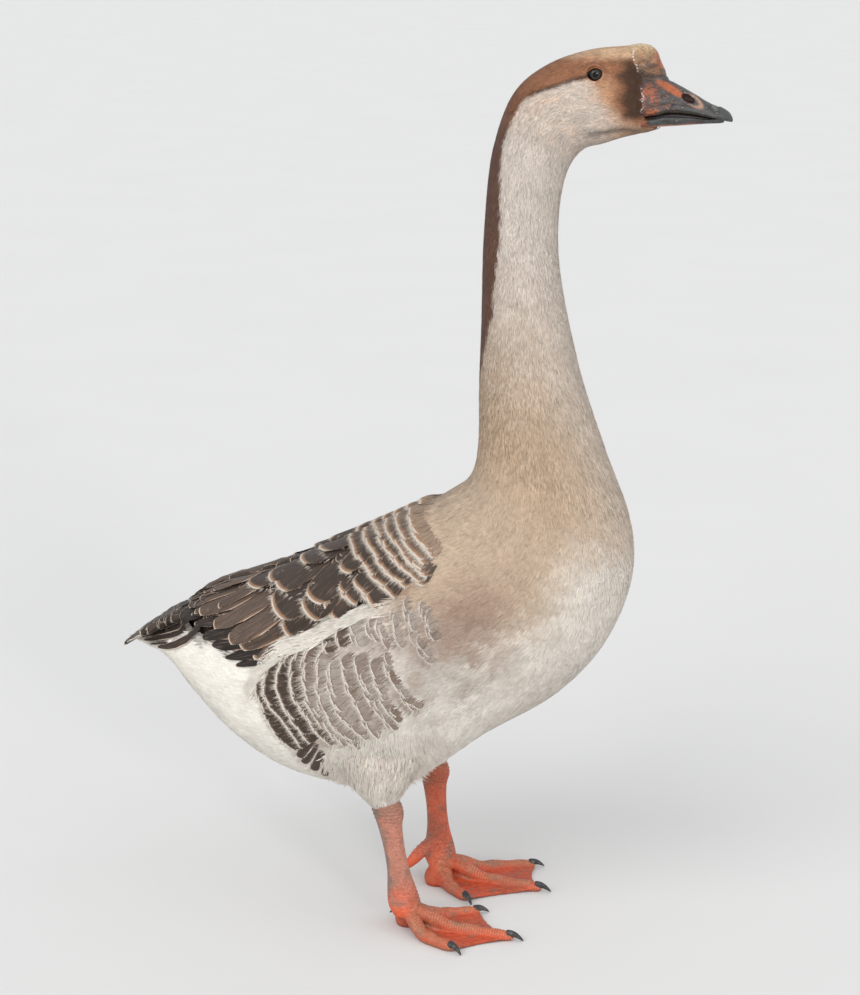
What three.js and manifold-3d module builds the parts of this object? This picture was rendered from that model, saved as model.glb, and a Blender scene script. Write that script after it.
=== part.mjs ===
// A standing domestic goose of the knobbed Chinese type, life size, in millimetres.
// +X points forward, +Y to the bird's left and +Z up. The soles stand on z = 0.
import * as THREE from "three";
import Module from "manifold-3d";
import { mergeVertices } from "three/addons/utils/BufferGeometryUtils.js";

const wasm = await Module();
wasm.setup();

// ---------- Driving dimensions ----------
const CUT = 0.4; // gap left where one piece meets the next
const WING_CLEARANCE = 1.4; // gap between the trunk and the wing that lies on it
const HEAD_TURN = THREE.MathUtils.degToRad(15); // the head looks a little to the bird's left
const TURN_AXIS_X = 108; // the upright line that the neck twists about
const TURN_FROM_Z = 437;
const TURN_TO_Z = 650;

const EYE = { x: 152.8, y: 18.8, z: 749.4, radius: 7.6, around: 12, down: 8 };

// The body is one shape, from the vent over the back and up the neck to the base of the bill.
// Each station gives its upper point and its lower point as [x, z], its half width,
// where it is widest (-1 at the lower point, 1 at the upper) and how square it is (2 is an ellipse).
const BODY = [
  { name: "vent", upper: [-250, 239], lower: [-256, 228], half: 14, widest: 0, square: 2 },
  { name: "stern", upper: [-219, 256], lower: [-231, 219], half: 34, widest: 0, square: 2 },
  { name: "rump", upper: [-187, 280], lower: [-202, 186], half: 51, widest: 0.05, square: 2 },
  { name: "haunch", upper: [-146, 296], lower: [-166, 152], half: 67, widest: 0.05, square: 2.05 },
  { name: "hip", upper: [-98, 316], lower: [-117, 124], half: 80, widest: 0.05, square: 2.1 },
  { name: "loin", upper: [-51, 339], lower: [-62, 114], half: 89, widest: 0.05, square: 2.1 },
  { name: "back", upper: [-10, 360], lower: [4, 125.5], half: 94, widest: 0.05, square: 2.1 },
  { name: "shoulder", upper: [22, 381], lower: [69, 171.5], half: 93, widest: 0, square: 2.1 },
  { name: "crop", upper: [40, 393], lower: [132, 213], half: 88, widest: 0, square: 2.05 },
  { name: "breast", upper: [49, 400], lower: [171.5, 260], half: 82, widest: 0, square: 2 },
  { name: "collar", upper: [56, 416], lower: [193, 318], half: 72, widest: 0, square: 2 },
  { name: "neck_root", upper: [58, 437], lower: [191, 366], half: 58, widest: 0, square: 2 },
  { name: "neck_base", upper: [58, 480], lower: [169.5, 425], half: 47, widest: 0, square: 2 },
  { name: "neck_low", upper: [60, 540], lower: [143.5, 503], half: 38, widest: 0, square: 2 },
  { name: "neck_high", upper: [62, 618], lower: [125, 606], half: 31, widest: 0, square: 2 },
  { name: "nape", upper: [70, 690], lower: [132, 667], half: 29, widest: 0, square: 2 },
  { name: "occiput", upper: [88, 735], lower: [145.5, 686], half: 30.5, widest: 0, square: 2.1 },
  { name: "crown", upper: [115, 756.5], lower: [161, 690.5], half: 31, widest: -0.1, square: 2.2 },
  { name: "brow", upper: [150, 768.5], lower: [177, 695.5], half: 26.5, widest: -0.15, square: 2.3 },
  { name: "face", upper: [184, 772], lower: [192.5, 699], half: 18.5, widest: -0.2, square: 2.4 },
];

const BILL_UPPER = [
  { upper: [187.4, 751], lower: [191.8, 712.6], half: 16.5, widest: -0.5, square: 2.2 },
  { upper: [204, 747.5], lower: [203.5, 714.8], half: 15.6, widest: -0.55, square: 2.2 },
  { upper: [215, 743.8], lower: [214, 717.8], half: 14.2, widest: -0.58, square: 2.1 },
  { upper: [228, 737.6], lower: [228, 717.4], half: 12.9, widest: -0.55, square: 2 },
  { upper: [241, 730], lower: [241, 715.2], half: 11.8, widest: -0.5, square: 2 },
  { upper: [252.5, 723.4], lower: [252.2, 712.3], half: 10.8, widest: -0.5, square: 2 },
  { upper: [261, 720.6], lower: [260.2, 710], half: 9, widest: -0.4, square: 2 },
  { upper: [267.6, 716], lower: [266.6, 708.8], half: 6, widest: -0.3, square: 2 },
  { upper: [270.5, 711], lower: [270, 708.2], half: 2.4, widest: 0, square: 2 },
];

const BILL_LOWER = [
  { upper: [192.5, 712], lower: [193, 704], half: 14.5, widest: 0.3, square: 2.2 },
  { upper: [206, 712.2], lower: [206, 704.2], half: 13.2, widest: 0.35, square: 2.2 },
  { upper: [226, 711.8], lower: [226, 705], half: 11.2, widest: 0.35, square: 2.2 },
  { upper: [246, 710], lower: [246, 706.6], half: 9.6, widest: 0.3, square: 2.1 },
  { upper: [258, 708.6], lower: [258, 707.2], half: 7.4, widest: 0.2, square: 2 },
  { upper: [263, 708.2], lower: [263, 707.4], half: 3.5, widest: 0, square: 2 },
];

const KNOB = [
  { upper: [184.6, 772.4], lower: [188.6, 742], half: 14, widest: 0, square: 2.1 },
  { upper: [192, 773.4], lower: [194, 742], half: 14.6, widest: 0.1, square: 2.1 },
  { upper: [200, 772], lower: [201, 742], half: 13.2, widest: 0.15, square: 2.1 },
  { upper: [205.5, 767.5], lower: [206, 743], half: 9.6, widest: 0.1, square: 2 },
  { upper: [208.2, 758.5], lower: [208.4, 746], half: 3.6, widest: 0, square: 2 },
];

// The tail is a flat fan over the vent.
const TAIL = [
  { upper: [-222, 263], lower: [-224.5, 253], half: 31, widest: 0, square: 2.4 },
  { upper: [-235, 256], lower: [-237.5, 247], half: 38, widest: 0, square: 2.4 },
  { upper: [-249, 247.5], lower: [-251, 240.5], half: 42, widest: 0, square: 2.4 },
  { upper: [-259, 240], lower: [-260.4, 235.5], half: 40, widest: 0, square: 2.4 },
  { upper: [-264, 235.4], lower: [-264.8, 232.8], half: 32, widest: 0, square: 2.2 },
];

// The folded wing lies on the trunk, from "top" to "low" degrees round from the middle of the back.
const WING = [
  { at: 7.0, top: 14, low: 52, thick: 2.2 },
  { at: 6.6, top: 4, low: 64, thick: 5 },
  { at: 6, top: 2.4, low: 66, thick: 7 },
  { at: 5, top: 2.2, low: 62, thick: 8 },
  { at: 4, top: 2.2, low: 66, thick: 8 },
  { at: 3, top: 2.2, low: 79, thick: 7.4 },
  { at: 2, top: 2.6, low: 68, thick: 6 },
  { at: 1.4, top: 4, low: 44, thick: 5 },
  { at: 1.05, top: 7, low: 24, thick: 3 },
];
const WING_EDGE = 1.2; // thickness at the rim of the wing
const NECK_CUT = 13.1; // the station where the neck is parted in two lengths
const WING_CUT = 2.72; // the wing's own station where the covert half ends and the quill half starts

// The legs. "hock" and "ankle" are the x of the shank's two ends, and each toe is
// [direction outward from straight ahead in degrees, length with its claw].
// The hind toe's end is [behind, outward] of its root, so both figures are below nought.
const LEGS = {
  right: {
    side: -1, hock: -11, ankle: 6, outer: [37, 82], middle: [2, 113], inner: [-40, 86], hind: [-4, -15],
  },
  left: {
    side: 1, hock: 2, ankle: 6, outer: [31, 106], middle: [-5, 112], inner: [-53, 76], hind: [-23, -7],
  },
};
const LEG_Y = { hock: 57, ankle: 62 };
const HOCK_Z = 113;
const ANKLE_Z = 24;
const TOE = { base: 7.6, tip: 4.6, rise: 13, settles: 0.5, bow: 5, claw: 14 };
// The weight-bearing pad under the inner side of the heel, flat where it stands.
const PAD = { radius: 12.5, ahead: 1, inward: 12, height: 6, around: 10, down: 6 };
const WEB = { thick: 1.6, start: 0.1, reach: 1, bay: 0.07, floor: 0, sag: 0.6 };

const COLOURS = {
  plumage: { color: 0xc9b8a4, roughness: 0.9 },
  quills: { color: 0x5b4d43, roughness: 0.7 },
  crown: { color: 0x8a6247, roughness: 0.85 },
  bill: { color: 0x4a4643, roughness: 0.45 },
  knob: { color: 0x96704c, roughness: 0.6 },
  eye: { color: 0x2b211b, roughness: 0.1 },
  leg: { color: 0xcf5a36, roughness: 0.6 },
  claw: { color: 0x2f2e30, roughness: 0.4 },
};

// ---------- Shapes ----------
const SIDE = Math.PI / 2; // a quarter turn round a section, from its top to its side

const smooth = (x) => {
  const t = THREE.MathUtils.clamp(x, 0, 1);
  return t * t * (3 - 2 * t);
};

// A closed skin from a capped cylinder: place(t, a) gives the point at t along it and a round it.
function tube(place, along, around) {
  const skin = new THREE.CylinderGeometry(1, 1, 1, around, along);
  skin.deleteAttribute("normal");
  skin.deleteAttribute("uv");
  const at = skin.getAttribute("position");
  for (let i = 0; i < at.count; i++) {
    const t = 0.5 - at.getY(i);
    const a = Math.atan2(at.getX(i), at.getZ(i));
    const onAxis = Math.hypot(at.getX(i), at.getZ(i)) < 0.5;
    const p = onAxis ? place(t, SIDE).add(place(t, -SIDE)).multiplyScalar(0.5) : place(t, a);
    at.setXYZ(i, p.x, p.y, p.z);
  }
  return mergeVertices(skin, 1e-4);
}

// A closed plate: place(u, v, w) gives the point at u across, v along and w (0 or 1) through it.
function slab(place, along, across) {
  const skin = new THREE.BoxGeometry(1, 1, 1, across, along, 1);
  skin.deleteAttribute("normal");
  skin.deleteAttribute("uv");
  const at = skin.getAttribute("position");
  for (let i = 0; i < at.count; i++) {
    const p = place(at.getX(i) + 0.5, at.getY(i) + 0.5, at.getZ(i) + 0.5);
    at.setXYZ(i, p.x, p.y, p.z);
  }
  return mergeVertices(skin, 1e-4);
}

// A smooth surface through stations. at(s, a) takes a station number, which may lie between two.
function surface(stations, grow = 0) {
  const spread = (pick) => new THREE.CatmullRomCurve3(stations.map(pick));
  const upper = spread((s) => new THREE.Vector3(s.upper[0], s.y ?? 0, s.upper[1]));
  const lower = spread((s) => new THREE.Vector3(s.lower[0], s.y ?? 0, s.lower[1]));
  const section = spread((s) => new THREE.Vector3(s.half, s.widest, s.square));
  return (s, a) => {
    const t = THREE.MathUtils.clamp(s / (stations.length - 1), 0, 1);
    const top = upper.getPoint(t);
    const middle = top.clone().add(lower.getPoint(t)).multiplyScalar(0.5);
    const up = top.sub(middle);
    const height = up.length();
    const [half, widest, square] = section.getPoint(t).toArray();
    const bend = (x) => Math.sign(x) * Math.abs(x) ** (2 / square);
    const q = bend(Math.cos(a));
    const rise = (height + grow) * (q + widest * (1 - q * q));
    const p = middle.addScaledVector(up.normalize(), rise);
    p.y += (half + grow) * bend(Math.sin(a));
    return p;
  };
}

// The stretch of a surface from station s0 to station s1, as a closed piece.
const stretch = (at, s0, s1, along, around) =>
  tube((t, a) => at(THREE.MathUtils.lerp(s0, s1, t), a), along, around);

// Turns what is high on the neck with the head.
function turnWithHead(geometry) {
  const at = geometry.getAttribute("position");
  const axis = new THREE.Vector3(0, 0, 1);
  const p = new THREE.Vector3();
  for (let i = 0; i < at.count; i++) {
    p.fromBufferAttribute(at, i);
    const share = smooth((p.z - TURN_FROM_Z) / (TURN_TO_Z - TURN_FROM_Z));
    p.x -= TURN_AXIS_X;
    p.applyAxisAngle(axis, HEAD_TURN * share);
    at.setXYZ(i, p.x + TURN_AXIS_X, p.y, p.z);
  }
  return geometry;
}

function solid(geometry) {
  const at = geometry.getAttribute("position").array;
  const faces = Uint32Array.from(geometry.index.array);
  const made = (turned) => new wasm.Manifold(
    new wasm.Mesh({ numProp: 3, vertProperties: at, triVerts: turned }));
  const first = made(faces);
  if (first.volume() > 0) return first;
  for (let i = 0; i < faces.length; i += 3) [faces[i + 1], faces[i + 2]] = [faces[i + 2], faces[i + 1]];
  return made(faces);
}

function geometryOf(shape) {
  const mesh = shape.getMesh();
  return new THREE.BufferGeometry()
    .setAttribute("position", new THREE.BufferAttribute(Float32Array.from(mesh.vertProperties), 3))
    .setIndex(new THREE.BufferAttribute(Uint32Array.from(mesh.triVerts), 1));
}

const goose = new THREE.Group();
const paints = Object.fromEntries(
  Object.entries(COLOURS).map(([name, look]) => [name, new THREE.MeshStandardMaterial(look)]));

function add(name, paint, shape) {
  const geometry = geometryOf(shape);
  geometry.computeVertexNormals();
  const mesh = new THREE.Mesh(geometry, paints[paint]);
  mesh.name = name;
  goose.add(mesh);
}

// ---------- Trunk, neck and head ----------
const body = surface(BODY);
const bodyGrown = surface(BODY, CUT);
const station = (name) => BODY.findIndex((s) => s.name === name);
const ALONG_TRUNK = 24;
const AROUND_TRUNK = 26;
const AROUND_NECK = 22;

const trunkGrown = solid(
  stretch(bodyGrown, 0, station("neck_root"), ALONG_TRUNK, AROUND_TRUNK));

function trunk() {
  const end = station("neck_root");
  add("trunk", "plumage", solid(turnWithHead(stretch(body, 0, end, ALONG_TRUNK, AROUND_TRUNK))));
}

function neck() {
  const cuts = [
    ["neck_lower", station("neck_root"), NECK_CUT, 7],
    ["neck_upper", NECK_CUT, station("nape"), 7],
  ];
  const GAP = 0.009; // of a station, which is CUT or more all round
  for (const [name, from, to, along] of cuts)
    add(name, "plumage", solid(turnWithHead(stretch(body, from + GAP, to, along, AROUND_NECK))));
}

const eyeball = (side, grow) => {
  const ball = new THREE.SphereGeometry(EYE.radius + grow, EYE.around, EYE.down);
  ball.deleteAttribute("normal");
  ball.deleteAttribute("uv");
  ball.rotateX(Math.PI / 2);
  ball.translate(EYE.x, side * EYE.y, EYE.z);
  return solid(turnWithHead(mergeVertices(ball, 1e-4)));
};

function headAndEyes() {
  const GAP = 0.014;
  let head = solid(turnWithHead(
    stretch(body, station("nape") + GAP, station("face"), 12, AROUND_NECK)));
  for (const [name, side] of [["right", -1], ["left", 1]]) {
    head = head.subtract(eyeball(side, CUT));
    add(`eye_${name}`, "eye", eyeball(side, 0));
  }
  add("head", "crown", head);
}

function bill() {
  const upper = surface(BILL_UPPER);
  const lower = surface(BILL_LOWER);
  const upperSolid = solid(turnWithHead(stretch(upper, 0, BILL_UPPER.length - 1, 12, 14)));
  const upperGrown = solid(turnWithHead(
    stretch(surface(BILL_UPPER, CUT), 0, BILL_UPPER.length - 1, 12, 14)));
  const lowerSolid = solid(turnWithHead(stretch(lower, 0, BILL_LOWER.length - 1, 7, 12)));
  const knobSolid = solid(turnWithHead(stretch(surface(KNOB), 0, KNOB.length - 1, 7, 14)));
  add("bill_upper", "bill", upperSolid);
  add("bill_lower", "bill", lowerSolid.subtract(upperGrown));
  add("knob", "knob", knobSolid.subtract(upperGrown));
}

// ---------- Wings and tail ----------

// A point of the body's surface, lifted off it by a distance.
function lifted(s, a, lift) {
  const d = 0.01;
  const p = body(s, a);
  const across = body(s, a + d).sub(body(s, a - d));
  const along = body(s + d, a).sub(body(s - d, a));
  return p.addScaledVector(along.cross(across).normalize(), lift);
}

// Part of a folded wing: a plate that follows the trunk, thin at its edges.
function wingPlate(side, from, to, along) {
  const keys = WING.length - 1;
  const shape = new THREE.CatmullRomCurve3(WING.map((w) => new THREE.Vector3(w.top, w.low, w.thick)));
  const place = new THREE.CatmullRomCurve3(WING.map((w) => new THREE.Vector3(w.at, 0, 0)));
  return solid(slab((u, v, w) => {
    const key = THREE.MathUtils.lerp(from, to, v) / keys;
    const [top, low, thick] = shape.getPoint(key).toArray();
    const a = THREE.MathUtils.degToRad(THREE.MathUtils.lerp(top, low, u));
    const swell = Math.max(0, 4 * u * (1 - u)) ** 0.4;
    const lift = WING_CLEARANCE + w * (WING_EDGE + thick * swell);
    const p = lifted(place.getPoint(key).x, a, lift);
    p.y *= side;
    return p;
  }, along, 8));
}

function wings() {
  const keys = WING.length - 1;
  const middle = WING_CUT + 2;
  for (const [name, side] of [["right", -1], ["left", 1]]) {
    add(`wing_${name}`, "quills", wingPlate(side, 0, middle, 10));
    add(`wing_tip_${name}`, "quills", wingPlate(side, middle + 0.03, keys, 6));
  }
}

function tail() {
  const fan = solid(stretch(surface(TAIL), 0, TAIL.length - 1, 6, 18));
  add("tail", "quills", fan.subtract(trunkGrown));
}

// ---------- Legs ----------
function leg(name, { side, hock, ankle, outer, middle, inner, hind }) {
  const hockY = side * LEG_Y.hock;
  const ankleY = side * LEG_Y.ankle;

  const THIGH = [
    { upper: [hock + 42, 182], lower: [hock - 62, 182], y: hockY - side * 4, half: 34 },
    { upper: [hock + 36, 150], lower: [hock - 48, 150], y: hockY, half: 30 },
    { upper: [hock + 19, 129], lower: [hock - 32, 128], y: hockY, half: 20 },
    { upper: [hock + 9, HOCK_Z + 0.5], lower: [hock - 17, HOCK_Z + 0.5], y: hockY, half: 11.5 },
  ].map((s) => ({ widest: 0, square: 2, ...s }));
  const thigh = solid(stretch(surface(THIGH), 0, THIGH.length - 1, 6, 18));
  add(`thigh_${name}`, "plumage", thigh.subtract(trunkGrown));

  // [height, front, rear, half width], with front and rear from the shank's middle line.
  const SHANK = [
    [HOCK_Z, 13, 14, 11.5],
    [105, 13.5, 14, 10.5],
    [94, 10.5, 12, 8.2],
    [72, 9.2, 10, 7.2],
    [52, 10.5, 10.5, 7.8],
    [34, 14, 13.5, 10],
    [22, 15, 14.5, 11.5],
    [14, 12, 11, 10],
  ].map(([z, front, rear, half]) => {
    const share = (HOCK_Z - z) / (HOCK_Z - ANKLE_Z);
    const x = THREE.MathUtils.lerp(hock, ankle, share);
    const y = THREE.MathUtils.lerp(hockY, ankleY, share);
    return { upper: [x + front, z], lower: [x - rear, z], y, half, widest: 0, square: 2 };
  });
  const shank = solid(stretch(surface(SHANK), 0, SHANK.length - 1, 9, 14));

  const toes = { inner, middle, outer };
  const heading = (toe) => THREE.MathUtils.degToRad(side * toe[0]);
  // The height and radius of a toe's middle line at t, from the ankle (0) to the toe's end (1).
  const toeRadius = (t) =>
    THREE.MathUtils.lerp(TOE.base, TOE.tip, t) * (1 + 0.05 * Math.cos(t * Math.PI * 7));
  const toeHeight = (t) => 0.78 * toeRadius(t) + TOE.rise * (1 - smooth(t / TOE.settles));
  const alongToe = (toe, t, reach = 1) => {
    const length = (toe[1] - TOE.claw) * reach;
    const away = Math.sign(heading(toe) - heading(middle));
    const bow = away * TOE.bow * Math.sin(Math.PI * Math.min(t, 1));
    return new THREE.Vector3(
      ankle + 2 + Math.cos(heading(toe)) * length * t - Math.sin(heading(toe)) * bow,
      ankleY + Math.sin(heading(toe)) * length * t + Math.cos(heading(toe)) * bow,
      toeHeight(t * reach));
  };

  function toeSolid(toe) {
    const across = new THREE.Vector3(-Math.sin(heading(toe)), Math.cos(heading(toe)), 0);
    return solid(tube((t, a) => {
      const blunt = t < 0.9 ? 1 : Math.sqrt(Math.max(0.12, 1 - ((t - 0.9) / 0.1) ** 2));
      const r = toeRadius(t) * blunt;
      const p = alongToe(toe, t).addScaledVector(across, r * Math.sin(a));
      p.z += r * Math.cos(a);
      return p;
    }, 6, 6));
  }

  // The web between two toes, with a hollow front edge.
  const web = (one, two) => solid(slab((u, v, w) => {
    const t = THREE.MathUtils.lerp(WEB.start, 1, v);
    const bow = 4 * u * (1 - u);
    const reach = WEB.reach - WEB.bay * bow;
    const p = alongToe(one, t, reach).lerp(alongToe(two, t, reach), u);
    p.z = Math.max(WEB.floor, p.z * (1 - WEB.sag * bow) - WEB.thick) + WEB.thick * w;
    return p;
  }, 4, 4));

  function claw(toe, grow) {
    const start = alongToe(toe, 0.94);
    const ahead = new THREE.Vector3(Math.cos(heading(toe)), Math.sin(heading(toe)), 0);
    const across = new THREE.Vector3(-ahead.y, ahead.x, 0);
    return solid(tube((t, a) => {
      const r = 3.4 * (1 - t) ** 0.6 + 0.7 + grow;
      const p = start.clone().addScaledVector(ahead, t * (TOE.claw + 3.5 + grow));
      p.z = 5.4 + 1.6 * Math.sin(t * Math.PI * 0.8) - 4.8 * t * t;
      p.addScaledVector(across, 0.85 * r * Math.sin(a));
      p.z = Math.max(0.4, p.z + r * Math.cos(a));
      return p;
    }, 4, 7));
  }

  const ball = new THREE.SphereGeometry(PAD.radius, PAD.around, PAD.down);
  ball.deleteAttribute("normal");
  ball.deleteAttribute("uv");
  ball.translate(ankle + PAD.ahead, ankleY - side * PAD.inward, PAD.height);
  let foot = wasm.Manifold.union([
    solid(mergeVertices(ball, 1e-4)), ...Object.values(toes).map(toeSolid),
    web(inner, middle), web(middle, outer)]);
  foot = foot.trimByPlane([0, 0, 1], 0);

  // The hind toe is short and hangs from the inner side of the heel.
  const hindStart = new THREE.Vector3(ankle - 9, ankleY - side * 4, 36);
  const hindEnd = hindStart.clone().add(new THREE.Vector3(hind[0], side * hind[1], -26));
  const hindRadius = (t) => 5 + 1.2 * Math.sin(Math.PI * t) - 3 * t * t * t;
  const hindToe = (grow) => solid(tube((t, a) => {
    const p = hindStart.clone().lerp(hindEnd, t);
    const r = hindRadius(t) + grow;
    p.x += r * 0.7 * Math.cos(a);
    p.z -= r * 0.7 * Math.cos(a);
    p.y += r * 0.85 * Math.sin(a);
    return p;
  }, 4, 8));
  const hindClaw = solid(tube((t, a) => {
    const p = hindEnd.clone().add(new THREE.Vector3(-0.5 - 5 * t, 0, -0.6 - 4.6 * t));
    const r = 2.3 * (1 - t) + 0.5;
    p.x += r * 0.7 * Math.cos(a);
    p.z -= r * 0.7 * Math.cos(a);
    p.y += r * 0.8 * Math.sin(a);
    return p;
  }, 2, 6));

  for (const [toeName, toe] of Object.entries(toes)) {
    foot = foot.subtract(claw(toe, CUT));
    add(`claw_${toeName}_${name}`, "claw", claw(toe, 0));
  }
  const shankGrown = solid(stretch(surface(SHANK, CUT), 0, SHANK.length - 1, 9, 14));
  add(`foot_${name}`, "leg", foot.subtract(shankGrown));
  add(`shank_${name}`, "leg", shank);
  add(`hind_toe_${name}`, "leg", hindToe(0).subtract(shankGrown));
  add(`claw_hind_${name}`, "claw", hindClaw.subtract(hindToe(CUT)));
}

trunk();
neck();
headAndEyes();
bill();
wings();
tail();
for (const [name, pose] of Object.entries(LEGS)) leg(name, pose);

export default goose;
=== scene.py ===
"""A standing domestic goose of the knobbed Chinese type: its skin, bill, legs and feathers.

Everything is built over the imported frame. Sizes are in millimetres until a mesh is made.
+X points forward, +Y to the bird's left and +Z up.
"""

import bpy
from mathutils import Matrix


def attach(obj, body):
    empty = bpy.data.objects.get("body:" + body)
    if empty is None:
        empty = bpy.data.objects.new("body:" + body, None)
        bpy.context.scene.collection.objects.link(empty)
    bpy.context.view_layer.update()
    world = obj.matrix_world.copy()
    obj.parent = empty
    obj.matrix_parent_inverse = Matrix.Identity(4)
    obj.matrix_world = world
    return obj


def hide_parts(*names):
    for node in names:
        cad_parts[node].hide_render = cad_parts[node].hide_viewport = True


bl_info = {
    "name": "Domestic goose",
    "version": (1, 0, 0),
    "blender": (4, 5, 0),
    "location": "View3D > Sidebar > Goose",
    "description": "Builds the skin, bill, legs, eyes and feathers of a standing goose",
    "category": "Add Mesh",
}

from math import atan2, cos, hypot, pi, radians, sin

import bpy
import numpy as np

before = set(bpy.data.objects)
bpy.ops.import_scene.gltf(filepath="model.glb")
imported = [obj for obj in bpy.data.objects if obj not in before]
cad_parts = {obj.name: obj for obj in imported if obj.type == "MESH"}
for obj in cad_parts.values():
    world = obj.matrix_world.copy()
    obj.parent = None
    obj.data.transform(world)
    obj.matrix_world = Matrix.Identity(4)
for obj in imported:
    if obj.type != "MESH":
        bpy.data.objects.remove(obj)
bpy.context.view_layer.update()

MM = 0.001
SIDES = {"right": -1, "left": 1}

# ---- sizes of the frame
# Each station: upper x, upper z, lower x, lower z, half width, where it is widest, how square.
BODY = [
    (-250, 239, -256, 228, 14, 0, 2),
    (-219, 256, -231, 219, 34, 0, 2),
    (-187, 280, -202, 186, 51, 0.05, 2),
    (-146, 296, -166, 152, 67, 0.05, 2.05),
    (-98, 316, -117, 124, 80, 0.05, 2.1),
    (-51, 339, -62, 114, 89, 0.05, 2.1),
    (-10, 360, 4, 125.5, 94, 0.05, 2.1),
    (22, 381, 69, 171.5, 93, 0, 2.1),
    (40, 393, 132, 213, 88, 0, 2.05),
    (49, 400, 171.5, 260, 82, 0, 2),
    (56, 416, 193, 318, 72, 0, 2),
    (58, 437, 191, 366, 58, 0, 2),
    (58, 480, 169.5, 425, 47, 0, 2),
    (60, 540, 143.5, 503, 38, 0, 2),
    (62, 618, 125, 606, 31, 0, 2),
    (70, 690, 132, 667, 29, 0, 2),
    (88, 735, 145.5, 686, 30.5, 0, 2.1),
    (115, 756.5, 161, 690.5, 31, -0.1, 2.2),
    (150, 768.5, 177, 695.5, 26.5, -0.15, 2.3),
    (184, 772, 192.5, 699, 18.5, -0.2, 2.4),
]
NAPE, FACE = 15, 19  # station numbers

BILL_UPPER = [
    (187.4, 751, 191.8, 712.6, 16.5, -0.5, 2.2),
    (204, 747.5, 203.5, 714.8, 15.6, -0.55, 2.2),
    (215, 743.8, 214, 717.8, 14.2, -0.58, 2.1),
    (228, 737.6, 228, 717.4, 12.9, -0.55, 2),
    (241, 730, 241, 715.2, 11.8, -0.5, 2),
    (252.5, 723.4, 252.2, 712.3, 10.8, -0.5, 2),
    (261, 720.6, 260.2, 710, 9, -0.4, 2),
    (267.6, 716, 266.6, 708.8, 6, -0.3, 2),
    (270.5, 711, 270, 708.2, 2.4, 0, 2),
]
BILL_LOWER = [
    (192.5, 712, 193, 704, 14.5, 0.3, 2.2),
    (206, 712.2, 206, 704.2, 13.2, 0.35, 2.2),
    (226, 711.8, 226, 705, 11.2, 0.35, 2.2),
    (246, 710, 246, 706.6, 9.6, 0.3, 2.1),
    (258, 708.6, 258, 707.2, 7.4, 0.2, 2),
    (263, 708.2, 263, 707.4, 3.5, 0, 2),
]
KNOB = [
    (184.6, 772.4, 188.6, 742, 14, 0, 2.1),
    (192, 773.4, 194, 742, 14.6, 0.1, 2.1),
    (200, 772, 201, 742, 13.2, 0.15, 2.1),
    (205.5, 767.5, 206, 743, 9.6, 0.1, 2),
    (208.2, 758.5, 208.4, 746, 3.6, 0, 2),
]
# The folded wing on the trunk: station, its top and low edge in degrees from the back, thickness.
WING = [
    (1.05, 7, 24, 3),
    (1.4, 4, 44, 5),
    (2, 2.6, 68, 6),
    (3, 2.2, 79, 7.4),
    (4, 2.2, 66, 8),
    (5, 2.2, 62, 8),
    (6, 2.4, 66, 7),
    (6.6, 4, 64, 5),
    (7, 14, 52, 2.2),
]
# The fan of tail feathers, from its tip to its root inside the trunk.
TAIL = [
    (-264, 235.4, -264.8, 232.8, 34, 0, 2.2),
    (-259, 240, -260.4, 235.5, 40, 0, 2.4),
    (-249, 247.5, -251, 240.5, 42, 0, 2.4),
    (-235, 256, -237.5, 247, 38, 0, 2.4),
    (-222, 263, -224.5, 253, 31, 0, 2.4),
    (-196, 270, -198, 258, 24, 0, 2.4),
]
# The swelling between the knob and the upper bill: its half sizes and its middle.
SWELLING = (12, 9, 6), (204, 0, 743.5)
TONGUE = [(x, top, x, 709.5, half, 0, 2) for x, top, half in (
    (196, 714, 7), (206, 716.5, 9), (218, 718.5, 9), (232, 717, 8), (246, 714, 6.6), (254, 711.8, 4))]
COMB_PLATES = 30  # along each edge of the upper bill
VOXEL = {"bill": 0.52, "leg": 0.9}  # how fine the joined skins are
WING_RIM = 2.6  # how far the wing's own edge stands off the trunk
SCUTE = 2.3  # from one ring of a toe to the next
SCALES = 620  # how fine the net of scales on the legs is

TURN = {"angle": radians(15), "axis_x": 108, "from_z": 437, "to_z": 650}
EYE = {"x": 152.8, "y": 18.8, "z": 749.4, "radius": 7.6}

# The legs: x of the hock and of the ankle, and each toe as (degrees outward, length with claw).
LEGS = {
    "right": {"hock": -11, "ankle": 6, "outer": (37, 82), "middle": (2, 113), "inner": (-40, 86),
              "hind": (-4, -15)},
    "left": {"hock": 2, "ankle": 6, "outer": (31, 106), "middle": (-5, 112), "inner": (-53, 76),
             "hind": (-23, -7)},
}
HOCK_Y, ANKLE_Y, HOCK_Z, ANKLE_Z = 57, 62, 113, 24
CLAW = 14  # length of a claw, which is counted in its toe's length


# ---- small maths
def smooth(low, high, x):
    """0 below low, 1 above high and a soft step between."""
    t = np.clip((np.asarray(x, float) - low) / (high - low), 0, 1)
    return t * t * (3 - 2 * t)


def fall(low, high, x):
    """1 below low, 0 above high and a soft step between."""
    return 1 - smooth(low, high, x)


def hump(x, centre, width):
    """1 at the centre, falling softly to 0 at about two widths from it."""
    return np.exp(-(((np.asarray(x, float) - centre) / width) ** 2))


def xyz(points):
    return np.moveaxis(np.asarray(points, float), -1, 0)


def blend(a, b, share):
    """Rows of colours with a share of colour b mixed into colour a."""
    a, b = colour_of(a), colour_of(b)
    return a + (b - a) * np.asarray(share, float)[..., None]


def layered(rgb, *layers):
    """A colour with others laid over it in turn, each by its share."""
    for over, share in layers:
        rgb = blend(rgb, over, share)
    return rgb


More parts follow.
